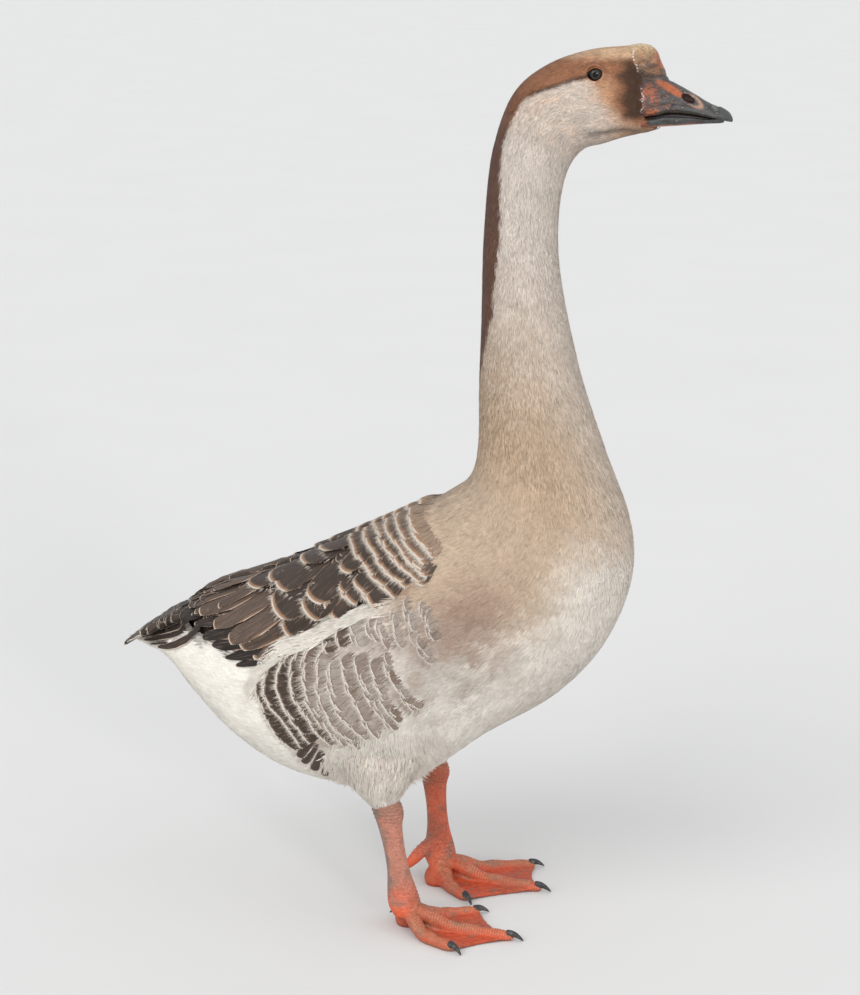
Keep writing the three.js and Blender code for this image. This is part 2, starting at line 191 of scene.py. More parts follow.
def chance(points, seed=0):
    """A random number from 0 to 1 for each whole-number point."""
    x, y, z = (points[..., k].astype(np.int64) for k in range(3))
    h = (x * 374761393 + y * 668265263 + z * 2147483647 + seed * 1274126177) & 0xFFFFFFFF
    h = ((h ^ (h >> 13)) * 1274126177) & 0xFFFFFFFF
    h = h ^ (h >> 16)
    return (h & 0xFFFFFF) / float(0xFFFFFF)


def noise(points, size, seed=0):
    """Soft lumps from 0 to 1 through space, about one size across."""
    q = np.asarray(points, float) / size
    cell = np.floor(q)
    f = q - cell
    f = f * f * (3 - 2 * f)
    total = 0
    for corner in range(8):
        step = np.array([corner & 1, corner >> 1 & 1, corner >> 2 & 1])
        share = np.prod(np.where(step, f, 1 - f), axis=-1)
        total = total + share * chance(cell + step, seed)
    return total


def catmull(rows, at):
    """A smooth curve through rows of numbers, read at row numbers that may lie between."""
    rows = np.asarray(rows, float)
    at = np.clip(np.asarray(at, float), 0, len(rows) - 1)
    i = np.minimum(at.astype(int), len(rows) - 2)
    w = (at - i)[..., None]
    ends = np.vstack([2 * rows[0] - rows[1], rows, 2 * rows[-1] - rows[-2]])
    p0, p1, p2, p3 = (ends[i + k] for k in range(4))

    def gap(a, b):
        return np.maximum(((a - b) ** 2).sum(-1) ** 0.25, 1e-4)[..., None]

    d0, d1, d2 = gap(p0, p1), gap(p1, p2), gap(p2, p3)
    t1 = ((p1 - p0) / d0 - (p2 - p0) / (d0 + d1) + (p2 - p1) / d1) * d1
    t2 = ((p2 - p1) / d1 - (p3 - p1) / (d1 + d2) + (p3 - p2) / d2) * d1
    c2 = -3 * p1 + 3 * p2 - 2 * t1 - t2
    c3 = 2 * p1 - 2 * p2 + t1 + t2
    return p1 + w * t1 + w * w * c2 + w**3 * c3


def loft(stations, s, a, grow=0.0):
    """Points at station numbers s and angles a round a table of stations, before the head's turn."""
    stations = np.asarray(stations, float)
    s, a = np.broadcast_arrays(np.asarray(s, float), np.asarray(a, float))
    upper, lower = catmull(stations[:, 0:2], s), catmull(stations[:, 2:4], s)
    half, widest, square = np.moveaxis(catmull(stations[:, 4:7], s), -1, 0)
    middle = (upper + lower) / 2
    up = upper - middle
    height = np.linalg.norm(up, axis=-1)
    up = up / height[..., None]

    def bend(x):
        return np.sign(x) * np.abs(x) ** (2 / square)

    q = bend(np.cos(a))
    rise = (height + grow) * (q + widest * (1 - q * q))
    side = (half + grow) * bend(np.sin(a))
    across = catmull(stations[:, 7:8], s)[..., 0] if stations.shape[1] > 7 else 0.0
    return np.stack([middle[..., 0] + up[..., 0] * rise, side + across,
                     middle[..., 1] + up[..., 1] * rise], -1)


def turn_with_head(points, way=1):
    """Turns what is high on the neck with the head, a little to the bird's left, or back (-1)."""
    x, y, z = xyz(points)
    turn = way * TURN["angle"] * smooth(TURN["from_z"], TURN["to_z"], z)
    x = x - TURN["axis_x"]
    return np.stack([x * np.cos(turn) - y * np.sin(turn) + TURN["axis_x"],
                     x * np.sin(turn) + y * np.cos(turn), z], -1)


def off_back(a):
    """Degrees from the middle of the back, to either side."""
    return np.degrees(np.abs(a))


def wing_at(s):
    """The folded wing's top and low edge, in degrees from the back, and its thickness."""
    stations, *columns = np.array(WING, float).T
    return [np.interp(s, stations, column) for column in columns]


def wing_lift(s, a):
    """How far the folded wing stands out from the trunk."""
    top, low, thick = wing_at(s)
    u = (off_back(a) - top) / (low - top)
    swell = np.clip(4 * u * (1 - u), 0, 1) ** 0.4
    edge = smooth(-0.03, 0.08, u) * smooth(-0.03, 0.08, 1 - u)
    ends = smooth(1.0, 1.35, s) * fall(6.55, 7.15, s)
    return (WING_RIM + thick * swell) * edge * ends


def on_wing(s, a):
    """1 on the folded wing and 0 off it."""
    top, low, _ = wing_at(s)
    u = (off_back(a) - top) / (low - top)
    ends = smooth(1.0, 1.2, s), fall(6.8, 7.1, s)
    return smooth(-0.02, 0.02, u) * smooth(-0.01, 0.02, 1 - u) * ends[0] * ends[1]


def flank_roll(s, a):
    """The soft roll of flank feathers that laps over the wing's lower edge."""
    under = hump(off_back(a), wing_at(s)[1] + 9, 8)
    return 4.5 * under * smooth(3.6, 4.3, s) * fall(6.4, 7.2, s)


def head_relief(p):
    """Brow, cheek and eye hollow, for points of the straight head."""
    x, y, z = xyz(p)
    from_eye = np.hypot(x - EYE["x"], z - EYE["z"])
    out = 0.9 * hump(from_eye, 14, 3.2) * (z > EYE["z"] - 2)
    out = out - 0.6 * hump(from_eye, 11, 2.6)
    above = (z - EYE["z"]) / np.maximum(from_eye, 1e-6)
    out = out + (1.1 + np.where(above > 0, 2.9 * above, 1.1 * above)) * hump(from_eye, 6.8, 2.4)
    out = out + 1.2 * hump(x, 150, 14) * hump(z, 722, 11)
    out = out - 1.0 * hump(x, 172, 8) * hump(z, 741, 8)
    return out * (np.abs(y) > 8) * smooth(690, 705, z)


class Hide:
    """A surface sampled on a net of station numbers and angles, that skin and feathers follow."""

    STEPS = 0.7548776662466927, 0.5698402909980532  # they spread points evenly over a square

    def __init__(self, place, first, last, rows, columns):
        self.first, self.last, self.rows, self.columns = first, last, rows, columns
        s = np.linspace(first, last, rows)
        a = np.linspace(-pi, pi, columns + 1)
        self.net = place(s[:, None], a[None, :])
        along = np.gradient(self.net, s, axis=0)
        wide = np.concatenate([self.net[:, -2:-1], self.net, self.net[:, 1:2]], 1)
        around = (wide[:, 2:] - wide[:, :-2]) / (2 * (a[1] - a[0]))
        normal = np.cross(around, along)
        middle = self.net.mean(1, keepdims=True)
        if (normal * (self.net - middle)).sum() < 0:
            normal = -normal
        length = np.maximum(np.linalg.norm(normal, axis=-1, keepdims=True), 1e-6)
        self.table = np.concatenate([self.net, normal / length, along,
                                     np.linalg.norm(around, axis=-1, keepdims=True)], -1)

    def read(self, s, a):
        """Point, outward normal, mm per station and mm per radian."""
        inside = np.clip(s, self.first, self.last)
        row = (inside - self.first) / (self.last - self.first) * (self.rows - 1)
        column = ((np.asarray(a) + pi) / (2 * pi)) % 1.0 * self.columns
        row, column = np.broadcast_arrays(row, column)
        i = np.minimum(row.astype(int), self.rows - 2)
        j = np.minimum(column.astype(int), self.columns - 1)
        u, v = (row - i)[..., None], (column - j)[..., None]
        t = self.table
        out = ((t[i, j] * (1 - v) + t[i, j + 1] * v) * (1 - u)
               + (t[i + 1, j] * (1 - v) + t[i + 1, j + 1] * v) * u)
        beyond = (np.asarray(s) - inside)[..., None] + 0 * out[..., 0:1]
        point = out[..., 0:3] + out[..., 6:9] * beyond
        return point, out[..., 3:6], np.linalg.norm(out[..., 6:9], axis=-1), out[..., 9]

    def scatter(self, spacing, s_range, keep=None, seed=0):
        """Even roots as arrays of s and a. spacing is in mm, or a function of s, a and point."""
        s = np.linspace(*s_range, 400)
        a = np.linspace(-pi, pi, 361)
        s_mid, a_mid = (s[1:] + s[:-1]) / 2, (a[1:] + a[:-1]) / 2
        ss, aa = np.meshgrid(s_mid, a_mid, indexing="ij")
        point, _, along, around = self.read(ss, aa)
        if callable(spacing):
            spacing = spacing(ss, aa, point)
        cells = along * around * (s[1] - s[0]) * (a[1] - a[0]) / np.square(spacing)
        if keep is not None:
            cells = cells * keep(ss, aa, point)
        per_row = cells.sum(1)
        count = int(per_row.sum())
        n = np.arange(count) + 1
        first = (0.5 + seed * 0.37 + n * self.STEPS[0]) % 1.0
        second = (0.5 + seed * 0.61 + n * self.STEPS[1]) % 1.0
        climb = np.concatenate([[0], np.cumsum(per_row)]) / per_row.sum()
        root_s = np.interp(first, climb, s)
        row = np.clip(np.searchsorted(climb, first, side="right") - 1, 0, len(s_mid) - 1)
        turn = np.cumsum(cells, 1)
        turn = np.concatenate([np.zeros((len(s_mid), 1)), turn], 1) / np.maximum(turn[:, -1:], 1e-9)
        root_a = np.empty(count)
        for k in np.unique(row):
            pick = row == k
            root_a[pick] = np.interp(second[pick], turn[k], a)
        return root_s, root_a


def body_place(s, a):
    """The outer surface of the trunk with its wings, the neck and the head."""
    p = loft(BODY, s, a)
    d = 0.01
    up = loft(BODY, s, a + d) - loft(BODY, s, a - d)
    along = loft(BODY, np.minimum(s + d, FACE), a) - loft(BODY, np.maximum(s - d, 0), a)
    normal = np.cross(up, along)
    normal = normal / np.maximum(np.linalg.norm(normal, axis=-1, keepdims=True), 1e-6)
    outward = np.sign((normal * (p - p.mean(1, keepdims=True))).sum(-1, keepdims=True))
    lift = wing_lift(s, a) + flank_roll(s, a) + head_relief(p)
    return turn_with_head(p + normal * outward * lift[..., None])


def thigh_stations(side, hock):
    """The feathered thigh, from inside the trunk down to the hock."""
    y = side * HOCK_Y
    return [
        (hock + 40, 226, hock - 56, 226, 20, 0, 2, y - side * 24),
        (hock + 40, 186, hock - 56, 186, 24, 0, 2, y - side * 16),
        (hock + 34, 154, hock - 46, 154, 26, 0, 2, y - side * 4),
        (hock + 19, 129, hock - 32, 128, 20, 0, 2, y),
        (hock + 9, 113.5, hock - 17, 113.5, 11.5, 0, 2, y),
    ]


def chin_place(s, a):
    """The feathered pad under the root of the lower bill."""
    turn = pi * s / 3
    round_off = np.sin(turn)
    return turn_with_head(np.stack([187 - 19 * np.cos(turn) + 0 * a, 12 * round_off * np.sin(a),
                                    704.0 + 5 * round_off * np.cos(a)], -1))


chin_hide = Hide(chin_place, 0, 3, 61, 48)
hide = Hide(body_place, 0, FACE, FACE * 26 + 1, 288)
tail_hide = Hide(lambda s, a: loft(TAIL, s, a), 0, 5, 101, 96)
thigh_hides = {
    name: Hide(lambda s, a, k=thigh_stations(side, LEGS[name]["hock"]): loft(k, s, a), 0, 4, 81, 96)
    for name, side in SIDES.items()
}


# ---- colours
def paint(code):
    """A colour written as six hex digits, in the linear numbers that Blender uses."""
    parts = [int(code[k:k + 2], 16) / 255 for k in (0, 2, 4)]
    return tuple(c / 12.92 if c <= 0.04045 else ((c + 0.055) / 1.055) ** 2.4 for c in parts)


def colour(name, about, code):
    return bpy.props.FloatVectorProperty(
        name=name, description=about, subtype="COLOR", size=3, min=0, max=1, default=paint(code))


class GooseColours(bpy.types.PropertyGroup):
    """Colours of the plumage, the horn and the bare skin."""

    cream: colour("Cream", "Sides of the neck and the throat", "cabfb4")
    buff: colour("Buff", "Lower neck, collar and upper breast", "b49c83")
    white: colour("White", "Belly, vent and undertail", "e9e4da")
    tan: colour("Tan", "Cheek and the edges of dark feathers", "bf9472")
    cap: colour("Cap", "Crown and hind head", "94664b")
    crown: colour("Crown", "Paler top of the crown", "cbaa8a")
    stripe: colour("Stripe", "Stripe down the nape", "5c3a29")
    lores: colour("Lores", "Dark skin and feathers before the eye", "30261f")
    smudge: colour("Smudge", "Grey-brown marks of the breast and flank", "9a8170")
    slate: colour("Slate", "Dark middle of wing and flank feathers", "3e322a")
    dusk: colour("Dusk", "Primaries and the tail", "261f1b")
    fringe: colour("Fringe", "Ragged tips of barred feathers", "c2b6a6")
    leg: colour("Leg", "Skin of the legs and feet", "cf5c39")
    bill: colour("Bill", "Horn of the bill", "4a4a49")
    bill_patch: colour("Bill patch", "Orange marks on the bill", "ad5a30")
    knob: colour("Knob", "Knob at the base of the bill", "9c7856")
    claw: colour("Claw", "Claws", "2b2a2c")


def coat_size(part, default, low, high):
    return bpy.props.FloatProperty(
        name=f"Coat depth, {part}", description=f"From the skin to the tips of the {part} feathers",
        default=default, min=low, max=high)


class GooseSizes(bpy.types.PropertyGroup):
    """Sizes of the coat, in millimetres."""

    depth_body: coat_size("body", 6.0, 1, 12)
    depth_neck: coat_size("neck", 3.2, 1, 8)
    depth_face: coat_size("face", 1.2, 0.4, 3)


def tone(name):
    return np.array(getattr(bpy.context.scene.goose_colours, name), float)


def colour_of(value):
    """A colour from its name among the goose's own, from six hex digits, or from numbers."""
    if isinstance(value, str):
        value = tone(value) if value in GooseColours.__annotations__ else paint(value)
    return np.asarray(value, float)


def along_line(at, line):
    """The second numbers of a line of pairs, read at its first ones."""
    firsts, seconds = np.array(line, float).T
    return np.interp(at, firsts, seconds)


def coat_depth(s):
    """Thickness of the coat at a station of the body."""
    size = bpy.context.scene.goose_sizes
    return np.interp(s, [0, 2, 9, 12, 15, 17.5, FACE],
                     [3, size.depth_body, size.depth_body, size.depth_neck + 0.6, size.depth_neck,
                      size.depth_face + 0.4, size.depth_face])


# The edge of the brown cap on the straight head, as x and z, and the front edge of the pale cheek.
CAP_EDGE = [(60, 640), (75, 672), (80, 701), (85, 715), (91, 725), (99, 731), (111, 737),
            (123, 741), (134, 744), (146, 745), (152, 743), (157, 736), (163, 727), (170, 718),
            (178, 711), (192, 706)]
EYE_LINE = [(96, 731), (106, 736), (120, 740), (134, 745), (146, 748)]
CHIN_LINE = [(141, 698), (152, 701), (164, 702.7), (178, 704), (190, 701.5)]
# Half width of the nape stripe in degrees, by station.
NAPE_STRIPE = [(11.6, 0), (12.4, 22), (13.2, 44), (13.9, 54), (14.5, 48), (15, 37), (15.6, 38)]


def marking_and_shadow(s, a):
    """The colour of the plumage at a station and angle, with a painted shadow on the rump, the same for the
    skin and the coat.
    """
    s, a = np.broadcast_arrays(np.asarray(s, float), np.asarray(a, float))
    p = loft(BODY, s, a)
    x, y, z = xyz(p)
    turn = off_back(a)
    rough = noise(p, 9, 1) - 0.5
    fine = noise(p, 3.2, 2) - 0.5
    broad = noise(p, 34, 3) - 0.5

    # Trunk: white below and behind, buff on the breast, brown smudges on the breast's sides.
    breast = smooth(7.5, 9, s)
    low = smooth(88 + 8 * breast, 128 + 14 * breast, turn + 14 * rough)
    high = fall(62, 96, turn)
    front = smooth(6.3 - 1.2 * high, 8.2 - 1.6 * high, s + broad)
    rgb = blend("white", "buff", front * (1 - low) * 0.9)
    rgb = blend(rgb, "cream", 0.55 * front * low)
    upper = smooth(9.6, 11.0, s + 0.8 * rough) * (1 - 0.35 * smooth(120, 170, turn))
    rgb = blend(rgb, "buff", 0.85 * upper)
    # Brown on the sides of the breast, with grey strokes below it.
    brown = hump(s + 0.7 * rough, 7.5, 1.3) * hump(turn + 10 * rough, 88, 17)
    rgb = blend(rgb, "smudge", np.clip(brown * (0.95 + 0.6 * rough), 0, 1))
    grey = hump(s + 0.7 * rough, 6.8, 1.1) * hump(turn + 12 * rough, 107, 19)
    rgb = blend(rgb, "9d9790", 0.45 * grey)
    smudged = smooth(0.46, 0.66, noise(p * [1, 1, 0.7], 13, 5)) * hump(s, 7.1, 1.2) * hump(turn, 106, 20)
    rgb = blend(rgb, "smudge", 0.6 * smudged)
    # Neck: buff fades to cream as it climbs.
    climb = smooth(11.6, 14.2, s + 0.7 * rough)
    rgb = blend(rgb, "cream", climb)
    # Stripe down the nape.
    half = along_line(s, NAPE_STRIPE)
    on_stripe = smooth(-3, 3, half + 7 * rough + 5 * fine - turn) * smooth(11.6, 12.3, s)
    on_stripe = on_stripe * fall(15.1, 17.0, s)
    rgb = blend(rgb, "stripe", on_stripe * 0.95)
    # Cap, with a paler crown and a dark line through the eye.
    above = z - along_line(x, CAP_EDGE) + 3.5 * rough + 2 * fine
    head = smooth(15.1, 15.7, s)
    cap = blend("cap", "stripe", 0.55 * fall(15.6, 16.6, s))
    cap = blend(cap, "crown", smooth(757, 769, z + 4 * rough) * smooth(16.3, 17.6, s))
    cheek = blend("tan", "cap", smooth(158, 176, x))
    front = smooth(138, 158, x)
    cap = blend(cap, cheek, smooth(150, 160, x) * fall(742, 752, z))
    soft = 1.6 + 5.5 * front
    rgb = blend(rgb, "tan", 0.75 * front * smooth(-26, 2, above + 5 * rough) * head)
    rgb = blend(rgb, "tan", head * (0.12 + 0.2 * smooth(0.1, 0.4, rough + 0.5 * fine)))
    rgb = blend(rgb, cap, smooth(-1, 1, above / soft) * head)
    on_line = hump(z, along_line(x, EYE_LINE), 1.9) * smooth(94, 102, x) * fall(147, 151, x)
    rgb = blend(rgb, "lores", 0.75 * on_line * head)
    # Dark lores before the bill, and the line along the jaw.
    lores = smooth(168, 182, x + 11 * rough + 6 * fine) * smooth(709, 716, z)
    rgb = blend(rgb, "lores", 0.85 * (lores * fall(757, 766, z + 6 * rough)))
    jaw = hump(z + 1.5 * rough, along_line(x, CHIN_LINE), 2.6) * smooth(138, 158, x)
    rgb = blend(rgb, "lores", 0.62 * jaw * smooth(0, 6, np.abs(y) - 8))
    under = smooth(150, 185, x) * fall(699, 702.5, z)
    rgb = blend(rgb, "tan", 0.75 * under * head)
    rgb = blend(rgb, "lores", 0.45 * under * head * smooth(172, 190, x + 9 * rough))
    between = fall(6, 12, turn) * smooth(1.5, 1.9, s) * fall(6.0, 6.6, s + rough)
    # Painted shadow: the rump behind the wings, from the back down to the angle rump, takes the wings' dark
    # colour, for the shade between the wing tips and the tail.
    rump = np.interp(s, [0, 0.5, 1, 1.4, 1.8, 2.3], [60, 95, 90, 70, 66, 74])
    rump_shadow = fall(-9, 9, turn - rump + 16 * rough) * fall(2.2, 2.6, s)
    wing = blend("slate", blend("smudge", "buff", 0.35), smooth(5.9, 6.7, s + rough))
    rgb = blend(rgb, wing, np.maximum(on_wing(s, a), np.maximum(between, 0.9 * rump_shadow)))
    # Every patch is uneven.
    return np.clip(rgb * (1 + 0.10 * rough + 0.12 * fine * (1 + 2 * head))[..., None], 0, 1)


def thigh_marking(s, a):
    """Whitish thighs, greyer towards the hock."""
    mottled = chance(np.stack([s * 40, a * 9, a * 0], -1), 6)
    grey = 0.1 + 0.3 * smooth(0.3, 1, mottled) + 0.18 * fall(1.5, 2.7, s)
    return blend(blend("white", "smudge", grey), "smudge", 0.3 * smooth(2.9, 4, s))


def chin_marking(s, a):
    """Tan chin, browner ahead."""
    lumps = noise(np.stack([s * 9, a * 3, 0 * s], -1), 1, 19)
    return blend(blend("tan", "cream", 0.15), "lores", 0.2 + 0.5 * lumps)


# ---- meshes
def deselect():
    if bpy.context.object and bpy.context.object.mode != "OBJECT":
        bpy.ops.object.mode_set(mode="OBJECT")
    bpy.ops.object.select_all(action="DESELECT")


def only(piece):
    deselect()
    piece.select_set(True)
    bpy.context.view_layer.objects.active = piece


def points_of(piece):
    co = np.empty(len(piece.data.vertices) * 3, np.float32)
    piece.data.vertices.foreach_get("co", co)
    return co.reshape(-1, 3).astype(float)


def put_points(piece, points):
    """Moves a mesh's points to places given in millimetres."""
    piece.data.vertices.foreach_set("co", (np.asarray(points) * MM).astype(np.float32).ravel())
    piece.data.update()


def named(name):
    piece = bpy.context.active_object
    piece.name = name
    piece.data.name = name
    return piece


def add(kind, name, **sizes):
    """A new piece that starts as one of Blender's own simple meshes."""
    deselect()
    getattr(bpy.ops.mesh, f"primitive_{kind}_add")(**sizes)
    return named(name)


def face_outward(piece):
    """Turns every face of a closed piece outward."""
    only(piece)
    bpy.ops.object.mode_set(mode="EDIT")
    bpy.ops.mesh.select_all(action="SELECT")
    bpy.ops.mesh.normals_make_consistent(inside=False)
    bpy.ops.object.mode_set(mode="OBJECT")


def wrap(name, place, rings, segments, shade=None):
    """A ball stretched over a closed shape: place(t, a) gives it at t from pole to pole and a round.

    shade(t, a), where there is one, gives its colours.
    """
    piece = add("uv_sphere", name, segments=segments, ring_count=rings, radius=1)
    x, y, z = points_of(piece).T
    t, a = np.arccos(np.clip(z, -1, 1)) / pi, np.arctan2(y, x)
    put_points(piece, place(t, a))
    face_outward(piece)
    if shade is not None:
        tint(piece, shade(t, a))
    return piece


def rooted(stations, back=10):
    """The same stations with one more, further back inside the head."""
    x0, z0, x1, z1, half, widest, square = stations[0]
    return [(x0 - back, z0 - 5, x1 - back, z1 + 1, half - 1.5, widest, square), *stations]


def wrap_loft(name, stations, rings, segments, relief=None):
    """A closed loft through stations, with the head's turn; relief(p, s, a) moves its points."""
    def place(t, a):
        s = t * (len(stations) - 1)
        p = loft(stations, s, a)
        axis = (loft(stations, s, pi / 2) + loft(stations, s, -pi / 2)) / 2
        p = axis + (p - axis) * ((t > 0) & (t < 1))[:, None]
        if relief is not None:
            p = relief(p, s, a)
        return turn_with_head(p)

    return wrap(name, place, rings, segments)


def modify(piece, kind, **settings):
    """Adds a modifier, sets it and applies it."""
    only(piece)
    modifier = piece.modifiers.new(kind.title(), kind)
    for key, value in settings.items():
        setattr(modifier, key, value)
    bpy.ops.object.modifier_apply(modifier=modifier.name)


def join(name, pieces):
    """One mesh out of several."""
    deselect()
    for piece in pieces:
        piece.select_set(True)
    bpy.context.view_layer.objects.active = pieces[0]
    bpy.ops.object.join()
    return named(name)


def one_skin(piece, voxel, times):
    """Melts the shells of a piece into one smooth skin."""
    modify(piece, "REMESH", mode="VOXEL", voxel_size=voxel * MM)
    modify(piece, "SMOOTH", factor=0.5, iterations=times)


def tint(piece, rgb):
    """Writes a colour for each point of a mesh."""
    data = piece.data.color_attributes.new(name="tint", type="FLOAT_COLOR", domain="POINT")
    rgba = np.ones((len(piece.data.vertices), 4), np.float32)
    rgba[:, :3] = rgb
    data.data.foreach_set("color", rgba.ravel())


def finish(piece, material, stands_for, rgb=None):
    """Gives a piece its colours, material and smooth faces, and ties it to the frame."""
    if rgb is not None:
        tint(piece, rgb)
    piece.data.materials.clear()
    piece.data.materials.append(material)
    piece.data.polygons.foreach_set("use_smooth", [True] * len(piece.data.polygons))
    piece.data.update()
    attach(piece, "root")
    if stands_for:
        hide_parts(*stands_for)


# ---- feathers
class Shape:
    """The pattern of one feather: dots and the faces between them.

    Each dot has t along the feather, w across it from -1 to 1, the number of its strand, and
    whether and at what angle it is drawn out as a frayed barb.
    """

    def __init__(self, dots, faces):
        self.t, self.w, strand, self.fray, self.fray_angle = np.array(list(zip(*dots)), float)
        self.strand = strand.astype(int)
        self.threes, self.fours = (
            np.array([face for face in faces if len(face) == n], int).reshape(-1, n) for n in (3, 4))
        self.triangles = len(self.threes) + 2 * len(self.fours)


def lock(strands, spread=0.5, levels=(0, 0.38, 0.74), widths=(0.7, 0.95, 0.6)):
    """A few pointed strands that spread from one root."""
    dots, faces = [], []
    half = 1.15 / strands
    for k in range(strands):
        middle = (k - (strands - 1) / 2) * 2 / strands
        first = len(dots)
        for level, width in zip(levels, widths):
            centre = middle * (1 - spread + spread * level)
            dots += [(level, centre - half * width, k, 0, 0), (level, centre + half * width, k, 0, 0)]
        dots.append((1, middle * (1 + 0.3 * spread), k, 0, 0))
        tip = len(dots) - 3
        faces += [(i, i + 1, i + 3, i + 2) for i in range(first, tip, 2)] + [(tip, tip + 1, tip + 2)]
    return Shape(dots, faces)


def vane(frays, columns=7, tip=0.62):
    """A broad feather, frayed round its end, where it is tip as wide as in its middle."""
    rows = (0, 0.3, 0.55, 0.75, 0.9, 1.0)
    outline = ([0, 0.25, 0.6, 0.85, 1.0], [0.55, 0.95, 1.0, 0.55 + 0.5 * tip, tip])
    dots = [(row, column * np.interp(row, *outline), 0, 0, 0)
            for row in rows for column in np.linspace(-1, 1, columns)]
    faces = [(k, k + 1, k + 1 + columns, k + columns)
             for k in range(columns * (len(rows) - 1)) if (k + 1) % columns]
    # The edge runs up the left side, over the tip and down the right side.
    edge = [(row, -np.interp(row, *outline), -60) for row in rows[3:5]]
    edge += [(1.0, c * np.interp(1.0, *outline), c * 40) for c in np.linspace(-1, 1, 7)]
    edge += [(row, np.interp(row, *outline), 60) for row in rows[4:2:-1]]
    edge = np.array(edge)
    reach = np.concatenate([[0], np.cumsum(np.hypot(np.diff(edge[:, 0]) * 1.6, np.diff(edge[:, 1])))])
    stops = np.linspace(0, reach[-1], frays + 1)
    t, w, angle = (np.interp(stops, reach, column) for column in edge.T)
    for k in range(frays):
        i = len(dots)
        dots += [(t[m] - 0.03, w[m] * 0.985, k + 1, 0, 0) for m in (k, k + 1)]
        dots.append(((t[k] + t[k + 1]) / 2 - 0.01, (w[k] + w[k + 1]) / 2, k + 1, 1,
                     radians((angle[k] + angle[k + 1]) / 2)))
        faces.append((i, i + 1, i + 2))
    return Shape(dots, faces)


class Coat:
    """Feathers gathered into one mesh."""

    LIMIT = 199000  # triangles
    PATCH = 0.003  # a plain feather's size in the UV map

    def __init__(self, name, patterned=0):
        """patterned is the number of feathers in a row of the piece's own sheet of UV cells."""
        self.name, self.patterned = name, patterned
        self.points, self.threes, self.fours = [], [], []
        self.tints, self.rims, self.vanes, self.unwraps, self.outward = [], [], [], [], []
        self.count = self.triangles = self.laid = 0

    def lay(self, hide, shape, s, a, length, width, rgb, lean=0.0, under=-4.0, over=0.3, rise=1.0,
            anchor=0.0, rounding=0.0, fray=0.0, camber=0.0, bow=0.0, stray=0.0, uneven=0.0,
            roll=0.0, ripple=0.0, edge=1.0, side_edge=(0.6, 0.1), root_shade=0.85, vary=0.2, seed=0):
        """Lays feathers on a hide. s and a are where a share, anchor, of each feather's length lies.

        lean turns a feather from straight back towards the belly. under and over are the heights
        of its root and tip, roll lifts its lower side, ripple waves its edges and bow bends it
        sideways. edge is the width of its pale edge and side_edge says how fast that fades along
        the sides. rgb holds a colour for each feather.
        """
        random = np.random.default_rng(seed)
        n = len(s)

        def column(value):
            return np.broadcast_to(np.asarray(value, float).reshape(-1, 1), (n, 1))

        s, a, length, width, lean, under, over, rounding, fray, camber, bow, roll, edge = map(
            column, (s, a, length, width, lean, under, over, rounding, fray, camber, bow, roll, edge))
        strands = shape.strand.max() + 1
        longer = 1 + uneven * (random.random((n, strands)) - 0.5)[:, shape.strand]
        own_length = np.where(shape.fray.max() > 0, 1.0, longer)
        wander = stray * (random.random((n, strands)) - 0.5)[:, shape.strand]
        side = np.where(a < 0, -1, 1)
        cos, sin = np.cos(lean), np.sin(lean)
        _, _, along, around = hide.read(s, a)
        reach = (0.5 - anchor) * length
        _, _, along, around = hide.read(s - reach * cos / along, a + side * reach * sin / around)
        t, w = shape.t[None, :], shape.w[None, :]
        frayed = fray * shape.fray * longer
        d = t * length * own_length - rounding * w * w * t**3
        d = d + frayed * np.cos(shape.fray_angle) - anchor * length
        c = w * width / 2 + wander * t * t * width + bow * t * t + frayed * np.sin(shape.fray_angle)
        at_s = s - (d * cos - c * sin) / along
        at_a = a + side * (d * sin + c * cos) / around
        point, normal, _, _ = hide.read(at_s, at_a)
        height = under + (over - under) * t**rise + camber * (1 - w * w) * np.sin(np.minimum(t, 1) * 2.6)
        wave = np.sin(t * 17 + 2.6 * np.sign(w) + 40 * random.random((n, 1)))
        height = height + roll * w + ripple * wave * w * w * (t > 0.2)
        self.points.append((point + normal * height[..., None]).reshape(-1, 3))
        self.outward.append(normal.reshape(-1, 3))
        start = self.count + np.arange(n)[:, None, None] * len(shape.t)
        for faces, kept in ((shape.threes, self.threes), (shape.fours, self.fours)):
            kept.append((faces[None] + start).reshape(-1, faces.shape[1]))
        self.count += n * len(shape.t)
        self.triangles += n * shape.triangles
        # Painted shade: each feather is darker towards its root, where the feathers over it shade it; vary
        # then makes strands at random lighter or darker.
        shade = root_shade + (1 - root_shade) * smooth(0, 0.6, t)
        shade = shade * (1 + vary * (random.random((n, strands)) - 0.5)[:, shape.strand])
        self.tints.append((rgb[:, None, :] * shade[..., None]).reshape(-1, 3))
        to_tip = (1 - t) * length + 0 * w
        to_side = (1 - np.abs(w)) * width * side_edge[0] + side_edge[1] * np.maximum(to_tip - 4, 0)
        rim = np.where(shape.fray > 0, -frayed, np.minimum(to_tip, to_side))
        self.rims.append((rim / edge).ravel())
        mark = random.random((n, 1)) + 0 * t
        lie = np.stack([w * width / 2 + 0 * mark, t * length + 0 * mark, mark], -1)
        self.vanes.append(lie.reshape(-1, 3))
        if self.patterned:
            cell = self.laid + np.arange(n)[:, None]
            u = (cell % self.patterned + 0.5 + 0.42 * np.clip(w, -1, 1)) / self.patterned
            v = (cell // self.patterned + 0.06 + 0.88 * t / 1.1) / self.patterned
        else:
            u = a / (2 * pi) + 0.5 + (w * 0.5) * self.PATCH
            v = s / FACE + (t - 0.5) * self.PATCH
        self.unwraps.append(np.stack([u + 0 * v, v + 0 * u], -1).reshape(-1, 2))
        self.laid += n

    @staticmethod
    def facing_out(points, outward, faces):
        """The same faces, each turned to face away from the surface under it."""
        corners = points[faces.T]
        normal = np.cross(corners[2] - corners[0], corners[-1] - corners[1])
        wrong = (normal * outward[faces[:, 0]]).sum(-1) < 0
        return np.where(wrong[:, None], faces[:, ::-1], faces)

